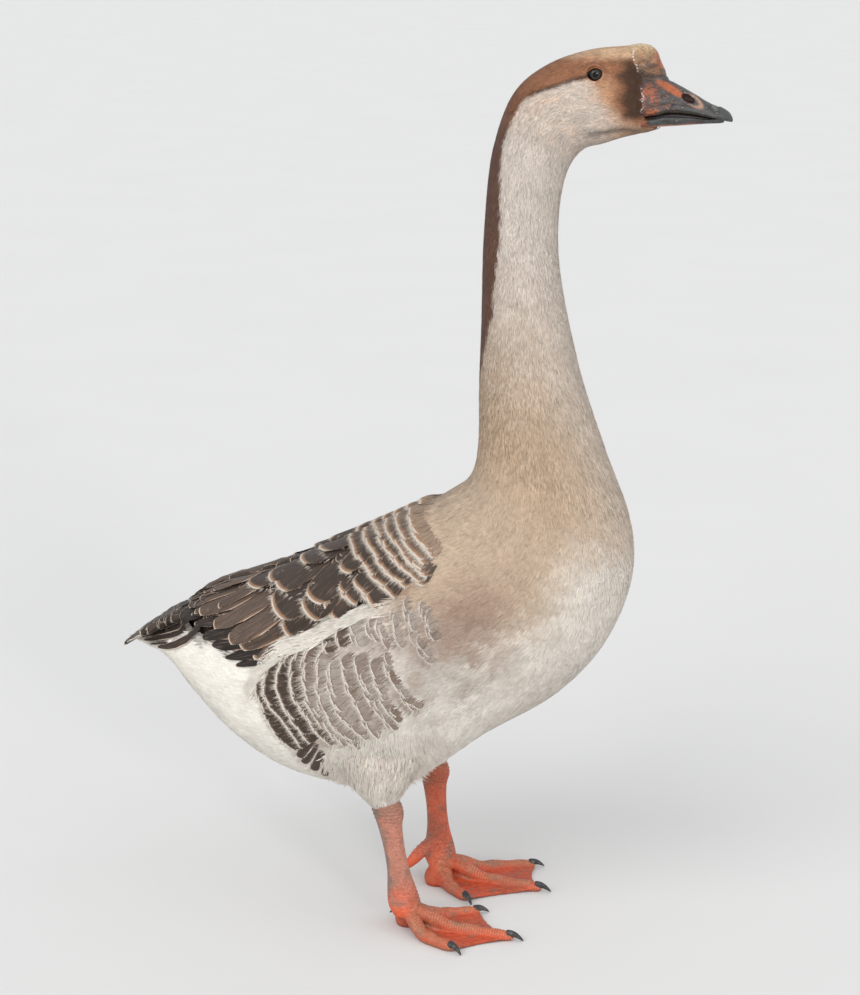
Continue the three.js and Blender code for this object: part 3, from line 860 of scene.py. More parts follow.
    def soften(self, mesh, softness):
        """Turns the shading of feathers towards the surface they lie on, as fine down looks."""
        own = np.empty(len(mesh.vertices) * 3, np.float32)
        mesh.vertices.foreach_get("normal", own)
        own, outward = own.reshape(-1, 3), np.concatenate(self.outward)
        own = own * np.where((own * outward).sum(-1) < 0, -1, 1)[:, None]
        mixed = own * (1 - softness) + outward * softness
        mixed = mixed / np.maximum(np.linalg.norm(mixed, axis=-1, keepdims=True), 1e-6)
        mesh.normals_split_custom_set_from_vertices(mixed.astype(np.float32))

    def build(self, material, stands_for, softness=0.75):
        if self.triangles > self.LIMIT:
            raise ValueError(f"{self.name} has {self.triangles} triangles")
        points = np.concatenate(self.points) * MM
        outward = np.concatenate(self.outward)
        threes, fours = (self.facing_out(points, outward, np.concatenate(faces))
                         for faces in (self.threes, self.fours))
        corners = np.concatenate([threes.ravel(), fours.ravel()])
        starts = np.concatenate([np.arange(len(threes)) * 3,
                                 len(threes) * 3 + np.arange(len(fours)) * 4])
        mesh = bpy.data.meshes.new(self.name)
        mesh.vertices.add(len(points))
        mesh.vertices.foreach_set("co", points.astype(np.float32).ravel())
        mesh.loops.add(len(corners))
        mesh.loops.foreach_set("vertex_index", corners.astype(np.int32))
        mesh.polygons.add(len(starts))
        mesh.polygons.foreach_set("loop_start", starts.astype(np.int32))
        mesh.update(calc_edges=True)
        unwrap = np.concatenate(self.unwraps)[corners].astype(np.float32)
        mesh.uv_layers.new(name="OFBake").data.foreach_set("uv", unwrap.ravel())
        rim = mesh.attributes.new("rim", "FLOAT", "POINT")
        rim.data.foreach_set("value", np.concatenate(self.rims).astype(np.float32))
        lie = mesh.attributes.new("vane", "FLOAT_VECTOR", "POINT")
        lie.data.foreach_set("vector", np.concatenate(self.vanes).astype(np.float32).ravel())
        piece = bpy.data.objects.new(self.name, mesh)
        bpy.context.scene.collection.objects.link(piece)
        tint(piece, np.clip(np.concatenate(self.tints), 0, 1))
        self.soften(mesh, softness)
        finish(piece, material, stands_for)
        print(self.name, self.laid, "feathers", self.triangles, "triangles")


# ---- materials
class Recipe:
    """A material and the few kinds of node that its pattern is mixed from."""

    def __init__(self, name, group=None):
        if group is None:
            self.material = bpy.data.materials.new(name)
            self.material.use_nodes = True
            self.tree = self.material.node_tree
            self.tree.nodes.clear()
        else:
            self.tree = group

    def node(self, kind, inputs=None, **settings):
        made = self.tree.nodes.new(kind)
        for key, value in settings.items():
            setattr(made, key, value)
        for key, value in (inputs or {}).items():
            self.feed(made.inputs[key], value)
        return made

    def feed(self, socket, value):
        """Links another node's socket, or sets a number, a vector or a colour by its name."""
        if isinstance(value, bpy.types.NodeSocket):
            self.tree.links.new(value, socket)
        else:
            socket.default_value = (*colour_of(value), 1) if isinstance(value, str) else value

    def place(self, *stretch):
        place = self.node("ShaderNodeTexCoord").outputs["Object"]
        if not stretch:
            return place
        return self.node("ShaderNodeMapping", {"Vector": place, "Scale": stretch}).outputs[0]

    def attribute(self, name, output="Fac"):
        return self.node("ShaderNodeAttribute", attribute_name=name).outputs[output]

    def split(self, vector):
        return self.node("ShaderNodeSeparateXYZ", {"Vector": vector}).outputs

    def math(self, operation, *values):
        return self.node("ShaderNodeMath", dict(enumerate(values)), operation=operation).outputs[0]

    def times(self, a, b):
        return self.math("MULTIPLY", a, b)

    def vector(self, operation, *values):
        return self.node("ShaderNodeVectorMath", dict(enumerate(values)), operation=operation).outputs

    def tinted(self, shade):
        """The piece's own colours, made lighter or darker by shade."""
        inputs = {0: self.attribute("tint", "Color"), "Scale": shade}
        return self.node("ShaderNodeVectorMath", inputs, operation="SCALE").outputs[0]

    def step(self, value, low, high, start=0.0, end=1.0):
        return self.node("ShaderNodeMapRange", {"Value": value, "From Min": low, "From Max": high,
                                                "To Min": start, "To Max": end},
                         interpolation_type="SMOOTHSTEP").outputs[0]

    def mix(self, share, a, b):
        return self.node("ShaderNodeMix", {0: share, 6: a, 7: b}, data_type="RGBA").outputs[2]

    def noise(self, vector, scale, detail=3, roughness=0.55):
        return self.node("ShaderNodeTexNoise", {"Vector": vector, "Scale": scale, "Detail": detail,
                                                "Roughness": roughness}).outputs[0]

    def cells(self, vector, scale, feature="F1", output="Distance"):
        return self.node("ShaderNodeTexVoronoi", {"Vector": vector, "Scale": scale},
                         feature=feature).outputs[output]

    def bump(self, height, distance, strength):
        return self.node("ShaderNodeBump", {"Height": height, "Distance": distance,
                                            "Strength": strength}).outputs[0]

    def both_sides(self, normal):
        """A normal for thin feathers: the soft one in front, the plain one on the underside."""
        geometry = self.node("ShaderNodeNewGeometry").outputs
        return self.mix(geometry["Backfacing"], normal, geometry["True Normal"])

    def surface(self, inputs):
        shader = self.node("ShaderNodeBsdfPrincipled", inputs)
        self.node("ShaderNodeOutputMaterial", {"Surface": shader.outputs[0]})
        return self.material


def barbs(recipe, fineness):
    """Fine slanting barbs of a feather, from its own coordinates: a shade round 1 and a height."""
    group = bpy.data.node_groups.get("Barbs")
    if group is None:
        group = bpy.data.node_groups.new("Barbs", "ShaderNodeTree")
        for label, way in (("Fineness", "INPUT"), ("Shade", "OUTPUT"), ("Height", "OUTPUT")):
            group.interface.new_socket(label, in_out=way, socket_type="NodeSocketFloat")
        r = Recipe("Barbs", group)
        across, along, mark = r.split(r.attribute("vane", "Vector"))
        slant = r.math("SUBTRACT", along, r.times(r.math("ABSOLUTE", across), 1.3))
        lane = r.node("ShaderNodeCombineXYZ", {"X": slant, "Y": r.times(across, 0.12),
                                               "Z": r.times(mark, 40.0)}).outputs[0]
        streak = r.noise(lane, r.node("NodeGroupInput").outputs["Fineness"], 3, 0.6)
        r.node("NodeGroupOutput", {"Shade": r.step(streak, 0.25, 0.75, 0.78, 1.18), "Height": streak})
    return recipe.node("ShaderNodeGroup", {"Fineness": fineness}, node_tree=group).outputs


def down_material():
    """Soft small feathers: their own colour with fine streaks."""
    r = Recipe("Down")
    streaks = barbs(r, 1.4)
    patch = r.step(r.noise(r.place(), 60, 3), 0.3, 0.7, 0.95, 1.04)
    shade = r.times(r.math("ADD", r.times(streaks["Shade"], 0.4), 0.6), patch)
    return r.surface({
        "Base Color": r.tinted(shade), "Roughness": 0.82, "Specular IOR Level": 0.18,
        "Sheen Weight": 0.12, "Sheen Roughness": 0.5,
        "Normal": r.both_sides(r.bump(streaks["Height"], 0.0003, 0.3))})


def quill_material(name, worn, tan_width, soft=0.4, line="tan", fringe="fringe", rest="cream"):
    """A vane: its own streaked colour inside, then a tan line and a pale frayed edge."""
    r = Recipe(name)
    streaks = barbs(r, 0.9)
    lie = r.attribute("vane", "Vector")
    ragged = r.noise(r.vector("MULTIPLY", lie, (1.1, 0.25, 50))[0], 1.0, 2)
    rim = r.math("ADD", r.attribute("rim"), r.times(r.math("SUBTRACT", ragged, 0.5), worn))
    lanes = r.noise(r.vector("MULTIPLY", lie, (0.9, 0.05, 30))[0], 1.0, 3, 0.6)
    faded = r.mix(r.step(lanes, 0.52, 0.72, 0.0, 0.34), r.tinted(streaks["Shade"]), "smudge")
    deep = r.mix(r.step(lanes, 0.46, 0.28, 0.0, 0.5), faded, "dusk")
    shaft = r.step(r.math("ABSOLUTE", r.split(lie)[0]), 0.2, 0.55)
    inner = r.mix(shaft, r.mix(0.4, deep, "dusk"), deep)
    with_line = r.mix(r.step(rim, 1.0, 1.0 + tan_width), r.mix(0.45, line, "slate"), inner)
    pale = r.mix(r.noise(lie, 2.0, 2), fringe, rest)
    return r.surface({
        "Base Color": r.mix(r.step(rim, 1.0 - soft, 1.0), pale, with_line), "Roughness": 0.62,
        "Specular IOR Level": 0.28, "Sheen Weight": 0.04,
        "Normal": r.both_sides(r.bump(streaks["Height"], 0.0005, 0.6))})


def skin_material():
    """Skin between the feathers: its own colour, uneven and matt."""
    r = Recipe("Feathered skin")
    lumps = r.noise(r.place(), 380, 4, 0.6)
    return r.surface({"Base Color": r.tinted(r.step(lumps, 0.25, 0.75, 0.84, 1.02)), "Roughness": 0.88,
                      "Specular IOR Level": 0.15, "Normal": r.bump(lumps, 0.0008, 0.7)})


def horn_material(name, grain, depth, roughness, coat):
    """Horn and bare skin: its own colour with fine mottling, pores and a soft gloss."""
    r = Recipe(name)
    place = r.place()
    fine = r.noise(place, grain, 5, 0.65)
    height = r.math("ADD", fine, r.times(r.cells(place, grain * 0.8), 0.5))
    return r.surface({
        "Base Color": r.tinted(r.step(fine, 0.3, 0.7, 0.74, 1.2)),
        "Roughness": r.step(fine, 0.3, 0.7, roughness + 0.1, roughness - 0.06),
        "Specular IOR Level": 0.4, "Coat Weight": coat, "Coat Roughness": 0.35,
        "Normal": r.bump(height, depth, 0.8)})


def leg_material():
    """Scaly skin: a net of small scales on the shank, rings on the toes, and smooth webs."""
    r = Recipe("Scaly leg skin")
    place = r.place()
    edge = r.cells(place, SCALES, "DISTANCE_TO_EDGE")
    each = r.node("ShaderNodeSeparateColor", {"Color": r.cells(place, SCALES, "F1", "Color")}).outputs[0]
    wrinkle = r.noise(r.place(1, 1, 2.6), 260, 4, 0.6)
    along, _, on_toe = r.split(r.attribute("scutes", "Vector"))
    ring = r.math("ABSOLUTE", r.math("SINE", r.math(
        "ADD", r.times(along, pi / SCUTE), r.times(wrinkle, 1.6))))
    on_shank = r.times(r.step(r.split(place)[2], 0.014, 0.03), r.math("SUBTRACT", 1.0, on_toe))
    netted = r.math("MAXIMUM", on_shank, r.times(on_toe, 0.55))
    skin = r.tinted(r.times(r.step(each, 0, 1, 0.9, 1.1), r.step(wrinkle, 0.3, 0.7, 0.86, 1.12)))
    net = r.times(r.step(edge, 0.02, 0.16, 0.22, 0.0), netted)
    pale = r.mix(net, skin, "dcae97")
    broken = r.times(on_toe, r.step(wrinkle, 0.3, 0.6, 0.35, 1.0))
    ringed = r.mix(r.times(r.step(ring, 0.1, 0.45, 0.28, 0.0), broken), pale, "6b4030")
    ringed = r.mix(r.times(r.step(ring, 0.75, 1.0, 0.0, 0.26), broken), ringed, "d9a384")
    relief = r.math("ADD", r.times(r.step(edge, 0.0, 0.3), netted), r.times(wrinkle, 0.6))
    relief = r.math("ADD", relief, r.times(r.step(ring, 0.0, 0.6, 0.0, 0.5), on_toe))
    return r.surface({
        "Base Color": ringed, "Roughness": 0.52, "Specular IOR Level": 0.38,
        "Subsurface Weight": 0.08, "Subsurface Radius": (0.004, 0.0015, 0.0008),
        "Subsurface Scale": 1.0, "Normal": r.bump(relief, 0.00045, 0.85)})


def eye_material(centre, gaze):
    """A dark brown iris round a black pupil, under a clear gloss."""
    r = Recipe("Eye")
    from_middle = r.vector("SUBTRACT", r.place(), tuple(centre * MM))[0]
    off_axis = r.vector("CROSS_PRODUCT", from_middle, tuple(gaze))[0]
    radius = r.times(r.vector("LENGTH", off_axis)["Value"], 1000.0)
    iris = r.mix(r.noise(r.vector("NORMALIZE", off_axis)[0], 9.0, 4, 0.7), "221b17", "43392f")
    iris = r.mix(r.step(radius, 3.3, 4.1), iris, "030303")
    rgb = r.mix(r.step(radius, 2.2, 2.6), (0.0005, 0.0005, 0.0005, 1), iris)
    return r.surface({"Base Color": rgb, "Roughness": 0.05, "Specular IOR Level": 0.3})


# ---- bare parts
def jitter(p, amount, size, seed):
    return amount * (noise(p, size, seed) - 0.5)


def upper_bill_relief(p, s, a):
    """Nostrils with a rim, the basin behind them, the nail's groove and the lip of the bill."""
    x, y, z = xyz(p)
    side = np.sign(y)
    ahead, over = x - 231.5, z - 728.5
    tilt = radians(30)
    long = (ahead * cos(tilt) - over * sin(tilt)) / 7.2
    short = (ahead * sin(tilt) + over * cos(tilt)) / 3.1
    from_nostril = np.hypot(long, short)
    inward = 4.2 * fall(0.62, 1.0, from_nostril) - 0.55 * hump(from_nostril, 1.28, 0.24)
    basin = np.hypot((x - 217) / 13, (z - 736 + 0.5 * (x - 217)) / 5)
    inward = inward + 0.8 * fall(0.4, 1.2, basin) * (from_nostril > 1)
    inward = inward + 0.7 * hump(x, 247, 9) * hump(z, 722, 4.5)
    lip = hump(off_back(a), 112, 12) * smooth(194, 206, x) * fall(252, 262, x)
    inward = inward - 0.9 * lip
    seam = hump(off_back(a), 90, 6) * 0.6
    inward = inward + seam * smooth(196, 208, x) * fall(244, 256, x)
    y = y - side * inward * smooth(1, 5, np.abs(y))
    groove = hump(x, 257.5 - 3 * (np.abs(y) / 9) ** 2, 1.0) * fall(80, 100, off_back(a))
    z = z - 0.55 * groove + 0.35 * smooth(257, 260, x) * fall(60, 90, off_back(a))
    z = z + jitter(p, 0.35, 5, 11) * (np.abs(a) < 1.8)
    return np.stack([x, y + side * jitter(p, 0.3, 4, 12), z], -1)


def bill_marking(p, lower=False):
    """Charcoal horn with orange marks and a tan knob, on the straight head."""
    x, y, z = xyz(p)
    rough, fine = noise(p, 4.2, 21) - 0.5, noise(p, 1.3, 22) - 0.5
    grain = 0.6 * rough + 0.7 * fine
    horn, patch = tone("bill"), tone("bill_patch")
    rgb = blend(horn * 0.9, horn * 0.3, smooth(-0.16, 0.26, rough + 0.5 * fine))
    rgb = blend(rgb, "9a968e", 0.5 * smooth(0.12, 0.4, grain) * smooth(200, 232, x))
    if lower:
        keel = np.interp(x, [row[2] for row in BILL_LOWER], [row[3] for row in BILL_LOWER])
        edge = 0.9 * fall(1.3, 2.9, z - keel + 1.6 * rough)
        rgb = blend(rgb, patch, edge * fall(228, 250, x))
        rgb = blend(rgb, patch, 0.7 * fall(194, 200, x + 4 * rough))
    else:
        side = fall(201, 212, x + 9 * rough) * fall(735, 747, z + 5 * rough)
        rgb = blend(rgb, "4a3026", 0.7 * side)
        rgb = blend(rgb, patch * 0.9, 0.85 * side * smooth(-0.24, 0.3, grain))
        band = np.hypot((x - 216.5) / 13.5, (z - 737 + 0.56 * (x - 216.5)) / 4.0)
        rgb = blend(rgb, patch, 0.92 * fall(0.75, 1.05, band + 0.4 * grain))
        ring = np.hypot((x - 232) / 10.5, (z - 728.5 + 0.5 * (x - 232)) / 4.6)
        rgb = blend(rgb, "c99a7d", 0.7 * hump(ring, 1.0, 0.2) * smooth(230, 238, x))
        # The nostril's inside is painted near-black red: its own dark skin and painted shade in the pit.
        hole = np.hypot(((x - 231.5) * 0.866 - (z - 728.5) * 0.5) / 7.0,
                        ((x - 231.5) * 0.5 + (z - 728.5) * 0.866) / 3.0)
        rgb = layered(
            rgb, ("2a0f0b", fall(0.7, 1.0, hole)),
            (patch * 0.7, 0.45 * smooth(0.05, 0.4, grain) * fall(222, 240, x)),
            (horn * 0.75, smooth(256, 261, x)))
        # The knob fades down into the horn.
        knob = blend("knob", patch, 0.8 * smooth(200, 207, x + 6 * rough) * smooth(750, 757, z))
        knob = layered(
            knob, ("c9b28c", 0.6 * smooth(764, 772, z + 6 * rough)),
            ("4e3a2f", 0.85 * smooth(-0.12, 0.16, grain) * fall(756, 772, z)),
            (patch, 0.5 * smooth(0.0, 0.25, -grain) * fall(756, 768, z)))
        rgb = blend(rgb, knob, smooth(743, 752, z + 9 * rough) * fall(209, 217, x + 6 * rough))
        dark = hump(z, 750, 6) * fall(196, 206, x) + hump(x, 212, 6) * hump(z, 747, 6)
        rgb = blend(rgb, horn * 0.6, 0.55 * np.clip(dark, 0, 1) * smooth(-0.25, 0.1, grain))
    seam_x = np.interp(z, [714.8, 722.1, 729.5, 738.6, 744.7, 749.1, 755.8, 763.9, 771.8],
                       [188.2, 189.8, 189, 187.9, 183.3, 186.6, 185.3, 182, 184])
    middle = hump(z, 729, 11)
    seam = hump(x, seam_x + 2.4 + 1.4 * middle + 1.6 * rough, 0.7 + 0.5 * middle)
    rgb = blend(rgb, "cfc2bc", 0.85 * seam * smooth(-0.06, 0.16, fine) * smooth(713, 720, z))
    speckle = 0.5 + 0.6 * smooth(738, 757, z)
    return np.clip(rgb * (1 + speckle * fine)[..., None], 0, 1)


def straight(piece):
    """A head piece's points in millimetres, turned back to the straight head."""
    return turn_with_head(points_of(piece) / MM, -1)


def knob_relief(p, s, a):
    """Pebbles on the knob."""
    pebbles = jitter(p, 1.2, 3.4, 14) + jitter(p, 0.6, 1.7, 15)
    out = p - np.array([196, 0, 756])
    out = out / np.linalg.norm(out, axis=-1, keepdims=True)
    x, _, z = xyz(p)
    slope = 5.5 * fall(744, 767, z) * smooth(194, 207, x)
    return p + out * pebbles[..., None] + slope[..., None] * [1, 0, 0]


def lower_bill_relief(p, s, a):
    """The hollow under the lower bill, and its tip closed up to the nail."""
    x, y, z = xyz(p)
    under = np.abs(a) > 1.9
    hollow = 1.2 * hump(y, 0, 5) * under * smooth(196, 214, x)
    root = 2.0 * smooth(200, 212, x) * fall(240, 256, x)
    closed = (3.2 * smooth(244, 258, x) + root) * (1 - under)
    return np.stack([x, y, z + hollow + closed + jitter(p, 0.25, 4, 13)], -1)


def make_bill():
    horn = horn_material("Bill horn", 900, 0.0005, 0.36, 0.2)
    # The knob, the upper bill and the swelling between them are one skin.
    upper = wrap_loft("upper_bill_horn", rooted(BILL_UPPER), 190, 140, upper_bill_relief)
    knob = wrap_loft("knob_skin", rooted(KNOB), 90, 100, knob_relief)
    swelling = add("uv_sphere", "swelling", segments=48, ring_count=32, radius=1)
    radii, middle = SWELLING
    put_points(swelling, turn_with_head(points_of(swelling) * radii + middle))
    upper = join("upper_bill_and_knob", [upper, knob, swelling])
    one_skin(upper, VOXEL["bill"], 4)
    finish(upper, horn, ["bill_upper", "knob"], bill_marking(straight(upper)))

    lower = wrap_loft("lower_bill_horn", rooted(BILL_LOWER), 110, 72, lower_bill_relief)
    finish(lower, horn, ["bill_lower"], bill_marking(straight(lower), True))

    # The tongue fills the gap between the two halves of the bill. It is painted near black, as painted
    # shade inside the gape.
    tongue = wrap_loft("tongue", TONGUE, 40, 28)
    finish(tongue, horn, ["bill_lower"],
           blend("1a1312", "2c201d", noise(straight(tongue), 3, 16)))

    # A comb of horny plates along each edge of the upper bill.
    lip_x = [station[2] for station in BILL_UPPER]
    plates = []
    for side in SIDES.values():
        for k in range(COMB_PLATES):
            x = 199 + 54 * (k + 0.5) / COMB_PLATES
            lip = loft(BILL_UPPER, np.interp(x, lip_x, np.arange(len(lip_x))), radians(118) * side)
            drop = np.interp(x, [199, 208, 222, 244, 253], [0.8, 1.6, 2.0, 1.5, 0.7])
            plate = add("cone", "comb_plate", vertices=6, radius1=0.74, radius2=0.34, depth=1)
            local = points_of(plate)
            placed = np.stack([x + local[:, 0] * 0.9, side * (abs(lip[1]) - 1.3) + local[:, 1] * 2.0,
                               lip[2] + 0.8 - (local[:, 2] + 0.5) * (drop + 0.8)], -1)
            put_points(plate, turn_with_head(placed))
            plates.append(plate)
    comb = join("bill_comb", plates)
    face_outward(comb)
    finish(comb, horn, ["bill_upper"],
           blend("8f8676", "655d50", noise(straight(comb), 2.5, 17)))


def make_eyes():
    turn = TURN["angle"]
    lid_material = horn_material("Eyelid", 1500, 0.0003, 0.5, 0.1)
    for name, side in SIDES.items():
        centre = turn_with_head(np.array([EYE["x"], side * EYE["y"], EYE["z"]]))
        out = np.array([-sin(turn) * side, cos(turn) * side, 0.0])
        ahead = np.array([cos(turn), sin(turn), 0.0])
        up = np.array([0.0, 0.0, 1.0])
        ball = add("uv_sphere", f"eyeball_{name}", segments=64, ring_count=40, radius=EYE["radius"] * MM)
        local = points_of(ball) / MM
        # The cornea bulges a little in the middle of the ball.
        bulge = 0.5 * smooth(0.72, 0.95, local @ out / EYE["radius"])
        put_points(ball, local * (1 + bulge[:, None] / EYE["radius"]) + centre)
        finish(ball, eye_material(centre, out), [f"eye_{name}"])

        lid = add("torus", f"eyelid_{name}", major_segments=110, minor_segments=18, major_radius=1,
                  minor_radius=0.25)
        x, y, z = points_of(lid).T
        round_eye = np.arctan2(y, x)
        across = (np.hypot(x, y) - 1) / 0.25
        deep = z / 0.25
        # The opening is drawn out to a corner in front and a smaller one behind.
        corner = 2.0 * smooth(0.66, 1.0, np.cos(round_eye)) + 0.5 * smooth(0.8, 1.0, -np.cos(round_eye))
        wide = 6.6 + corner
        tall = 5.8 + corner
        r_x, r_z = np.cos(round_eye) * wide, np.sin(round_eye) * tall
        reach = np.hypot(r_x, r_z)
        on_ball = np.sqrt(np.maximum(EYE["radius"] ** 2 - reach**2, 4)) + 0.35
        thick = 0.54 + 0.06 * np.sin(round_eye * 19)
        swell = 1 + across * thick / reach
        place = (ahead * (r_x * swell)[:, None] + up * (r_z * swell)[:, None]
                 + out * (on_ball + deep * 0.6 - 0.3 * across)[:, None])
        put_points(lid, place + centre)
        face_outward(lid)
        rgb = blend("ab602c", "6b3d22", smooth(-0.1, 0.5, across + noise(place, 1.5, 18) - 0.5))
        rgb = blend(rgb, "1d1512", fall(-1.0, -0.55, across))
        finish(lid, lid_material, [f"eye_{name}"], rgb)


# ---- legs
TOE_BASE, TOE_TIP, TOE_RISE, TOE_SETTLES, TOE_BOW = 7.6, 4.6, 13, 0.5, 5
PAD = {"radius": 12.5, "ahead": 1, "inward": 12, "height": 6}
WEB_THICK = 2.4
TOES = ("inner", "middle", "outer")


class Foot:
    """Where the toes of one foot run."""

    def __init__(self, name):
        self.name, self.side, self.pose = name, SIDES[name], LEGS[name]
        self.ankle = self.pose["ankle"]
        self.ankle_y = self.side * ANKLE_Y
        self.hock_y = self.side * HOCK_Y

    def heading(self, toe):
        return radians(self.side * self.pose[toe][0])

    @staticmethod
    def radius(t):
        return (TOE_BASE + (TOE_TIP - TOE_BASE) * t) * (1 + 0.05 * np.cos(t * pi * 7))

    def height(self, t):
        return 0.78 * self.radius(t) + TOE_RISE * fall(0, TOE_SETTLES, t)

    def along(self, toe, t, reach=1.0):
        """The toe's middle line at t from the ankle (0) to the toe's end (1)."""
        t = np.asarray(t, float)
        length = (self.pose[toe][1] - CLAW) * reach
        heading = self.heading(toe)
        away = np.sign(heading - self.heading("middle"))
        bow = away * TOE_BOW * np.sin(pi * np.minimum(t, 1))
        return np.stack([
            self.ankle + 2 + cos(heading) * length * t - sin(heading) * bow,
            self.ankle_y + sin(heading) * length * t + cos(heading) * bow,
            self.height(t * reach)], -1)

    def toe(self, toe):
        heading = self.heading(toe)
        across = np.array([-sin(heading), cos(heading), 0])

        def place(t, a):
            blunt = np.where(t < 0.9, 1, np.sqrt(np.maximum(0.02, 1 - ((t - 0.9) / 0.1) ** 2)))
            r = self.radius(t) * blunt * (1 + 0.035 * np.sin(t * self.pose[toe][1] * 1.5))
            p = self.along(toe, t) + across * (r * np.sin(a))[:, None]
            p[:, 2] += r * np.cos(a)
            return p

        return wrap(f"toe_{toe}_{self.name}", place, 60, 20)

    def web(self, one, two):
        """The skin between two toes, with a hollow front edge and faint folds."""
        sheet = add("grid", f"web_{one}_{self.name}", x_subdivisions=26, y_subdivisions=34, size=1)
        u, v, _ = (points_of(sheet) + 0.5).T
        t = 0.1 + 0.9 * v
        bow = 4 * u * (1 - u)
        reach = 1 - 0.07 * bow
        first, second = (np.stack([self.along(toe, *q) for q in zip(t, reach)]) for toe in (one, two))
        p = first + (second - first) * u[:, None]
        folds = 0.35 * np.sin(u * 40) * bow + 0.3 * np.sin(v * 46 + u * 5) * bow
        p[:, 2] = np.maximum(0.2, p[:, 2] * (1 - 0.6 * bow) - WEB_THICK / 2) + WEB_THICK / 2 + folds
        put_points(sheet, p)
        modify(sheet, "SOLIDIFY", thickness=WEB_THICK * MM, offset=0)
        return sheet

    def shank(self):
        rows = [(HOCK_Z + 9, 8, 11, 10.5), (HOCK_Z, 13, 14, 11.5), (105, 13.5, 14, 10.5),
                (94, 10.5, 12, 8.2), (72, 9.2, 10, 7.2), (52, 10.5, 10.5, 7.8), (34, 14, 13.5, 10),
                (22, 15, 14.5, 11.5), (12, 12, 11, 10)]
        stations = []
        for z, front, rear, half in rows:
            share = (HOCK_Z - z) / (HOCK_Z - ANKLE_Z)
            x = self.pose["hock"] + (self.ankle - self.pose["hock"]) * share
            y = self.hock_y + (self.ankle_y - self.hock_y) * share
            stations.append((x + front, z, x - rear, z, half, 0, 2, y))
        return wrap_loft(f"shank_skin_{self.name}", stations, 80, 40)

    def pad_at(self, height):
        return [self.ankle + PAD["ahead"], self.ankle_y - self.side * PAD["inward"], height]

    def pad(self):
        ball = add("uv_sphere", f"pad_{self.name}", segments=32, ring_count=20, radius=PAD["radius"] * MM)
        put_points(ball, points_of(ball) / MM + self.pad_at(PAD["height"]))
        return ball

    def heel(self):
        """Skin that runs from the shank over the pad to the inner toe."""
        ends = np.array([[self.ankle - 1, self.ankle_y, 36], self.pad_at(PAD["height"] + 3),
                         self.along("inner", 0.55)])
        pieces = []
        for k, (r0, r1) in enumerate(((10.5, 10.5), (10, 5.5))):
            start, run = ends[k], ends[k + 1] - ends[k]
            aside = np.cross(run, [0, 0, 1.0])
            aside = aside / np.linalg.norm(aside)
            over = np.cross(aside, run / np.linalg.norm(run))

            def place(t, a, start=start, run=run, aside=aside, over=over, r0=r0, r1=r1):
                r = (r0 + (r1 - r0) * t) * np.sqrt(np.maximum(1 - (2 * t - 1) ** 8, 0))
                return (start + run * t[:, None] + aside * (0.85 * r * np.cos(a))[:, None]
                        + over * (r * np.sin(a))[:, None])

            pieces.append(wrap(f"heel_{k}_{self.name}", place, 30, 24))
        return pieces

    def scutes(self, p):
        """Where the rings of the toes lie: mm along the nearest toe, mm across it, and 1 on a toe."""
        best = np.full(len(p), 1e9)
        found = np.zeros((len(p), 3))
        for toe in TOES:
            length = self.pose[toe][1] - CLAW
            heading = self.heading(toe)
            ahead, aside = p[:, 0] - self.ankle - 2, p[:, 1] - self.ankle_y
            t = (ahead * cos(heading) + aside * sin(heading)) / length
            line = self.along(toe, np.clip(t, 0, 1))
            away = np.hypot(p[:, 0] - line[:, 0], p[:, 1] - line[:, 1])
            on = fall(0.75, 1.15, away / self.radius(np.clip(t, 0, 1))) * smooth(0.12, 0.22, t)
            nearer = away < best
            best = np.where(nearer, away, best)
            found = np.where(nearer[:, None], np.stack([t * length, away, on], -1), found)
        return found

    def hind_line(self):
        start = np.array([self.ankle - 7, self.ankle_y - self.side * 4, 38])
        behind, outward = self.pose["hind"]
        return start, start + np.array([behind - 2, self.side * outward, -28])

    def hind_toe(self):
        start, end = self.hind_line()

        def place(t, a):
            r = 5.2 + 1.2 * np.sin(pi * t) - 3 * t**3
            r = r * np.where(t < 0.85, 1, np.sqrt(np.maximum(0.02, 1 - ((t - 0.85) / 0.15) ** 2)))
            p = start + (end - start) * t[:, None]
            return p + np.stack([0.7 * r * np.cos(a), 0.85 * r * np.sin(a), -0.7 * r * np.cos(a)], -1)

        return wrap(f"hind_toe_skin_{self.name}", place, 30, 20)

    def claw(self, toe):
        heading = self.heading(toe)
        start = self.along(toe, 0.93)
        ahead = np.array([cos(heading), sin(heading), 0])
        across = np.array([-ahead[1], ahead[0], 0])

        def place(t, a):
            r = 3.9 * (1 - t) ** 0.55 + 0.3
            p = start + ahead * (t * (CLAW + 1.5))[:, None] + across * (0.8 * r * np.sin(a))[:, None]
            p[:, 2] = 5.4 + 1.7 * np.sin(t * pi * 0.8) - 5.4 * t * t
            ridge = np.where(np.cos(a) > 0, 1.0, 0.75)
            p[:, 2] = np.maximum(0.4, p[:, 2] + r * np.cos(a) * ridge)
            return p

        return wrap(f"claw_horn_{toe}_{self.name}", place, 26, 20)

    def hind_claw(self):
        _, end = self.hind_line()

        def place(t, a):
            r = 2.4 * (1 - t) ** 0.7 + 0.2
            p = end + np.stack([1.5 - 7.5 * t, 0 * t, 1.2 - 6 * t], -1)
            return p + np.stack([0.7 * r * np.cos(a), 0.8 * r * np.sin(a), -0.7 * r * np.cos(a)], -1)

        return wrap(f"claw_horn_hind_{self.name}", place, 16, 14)


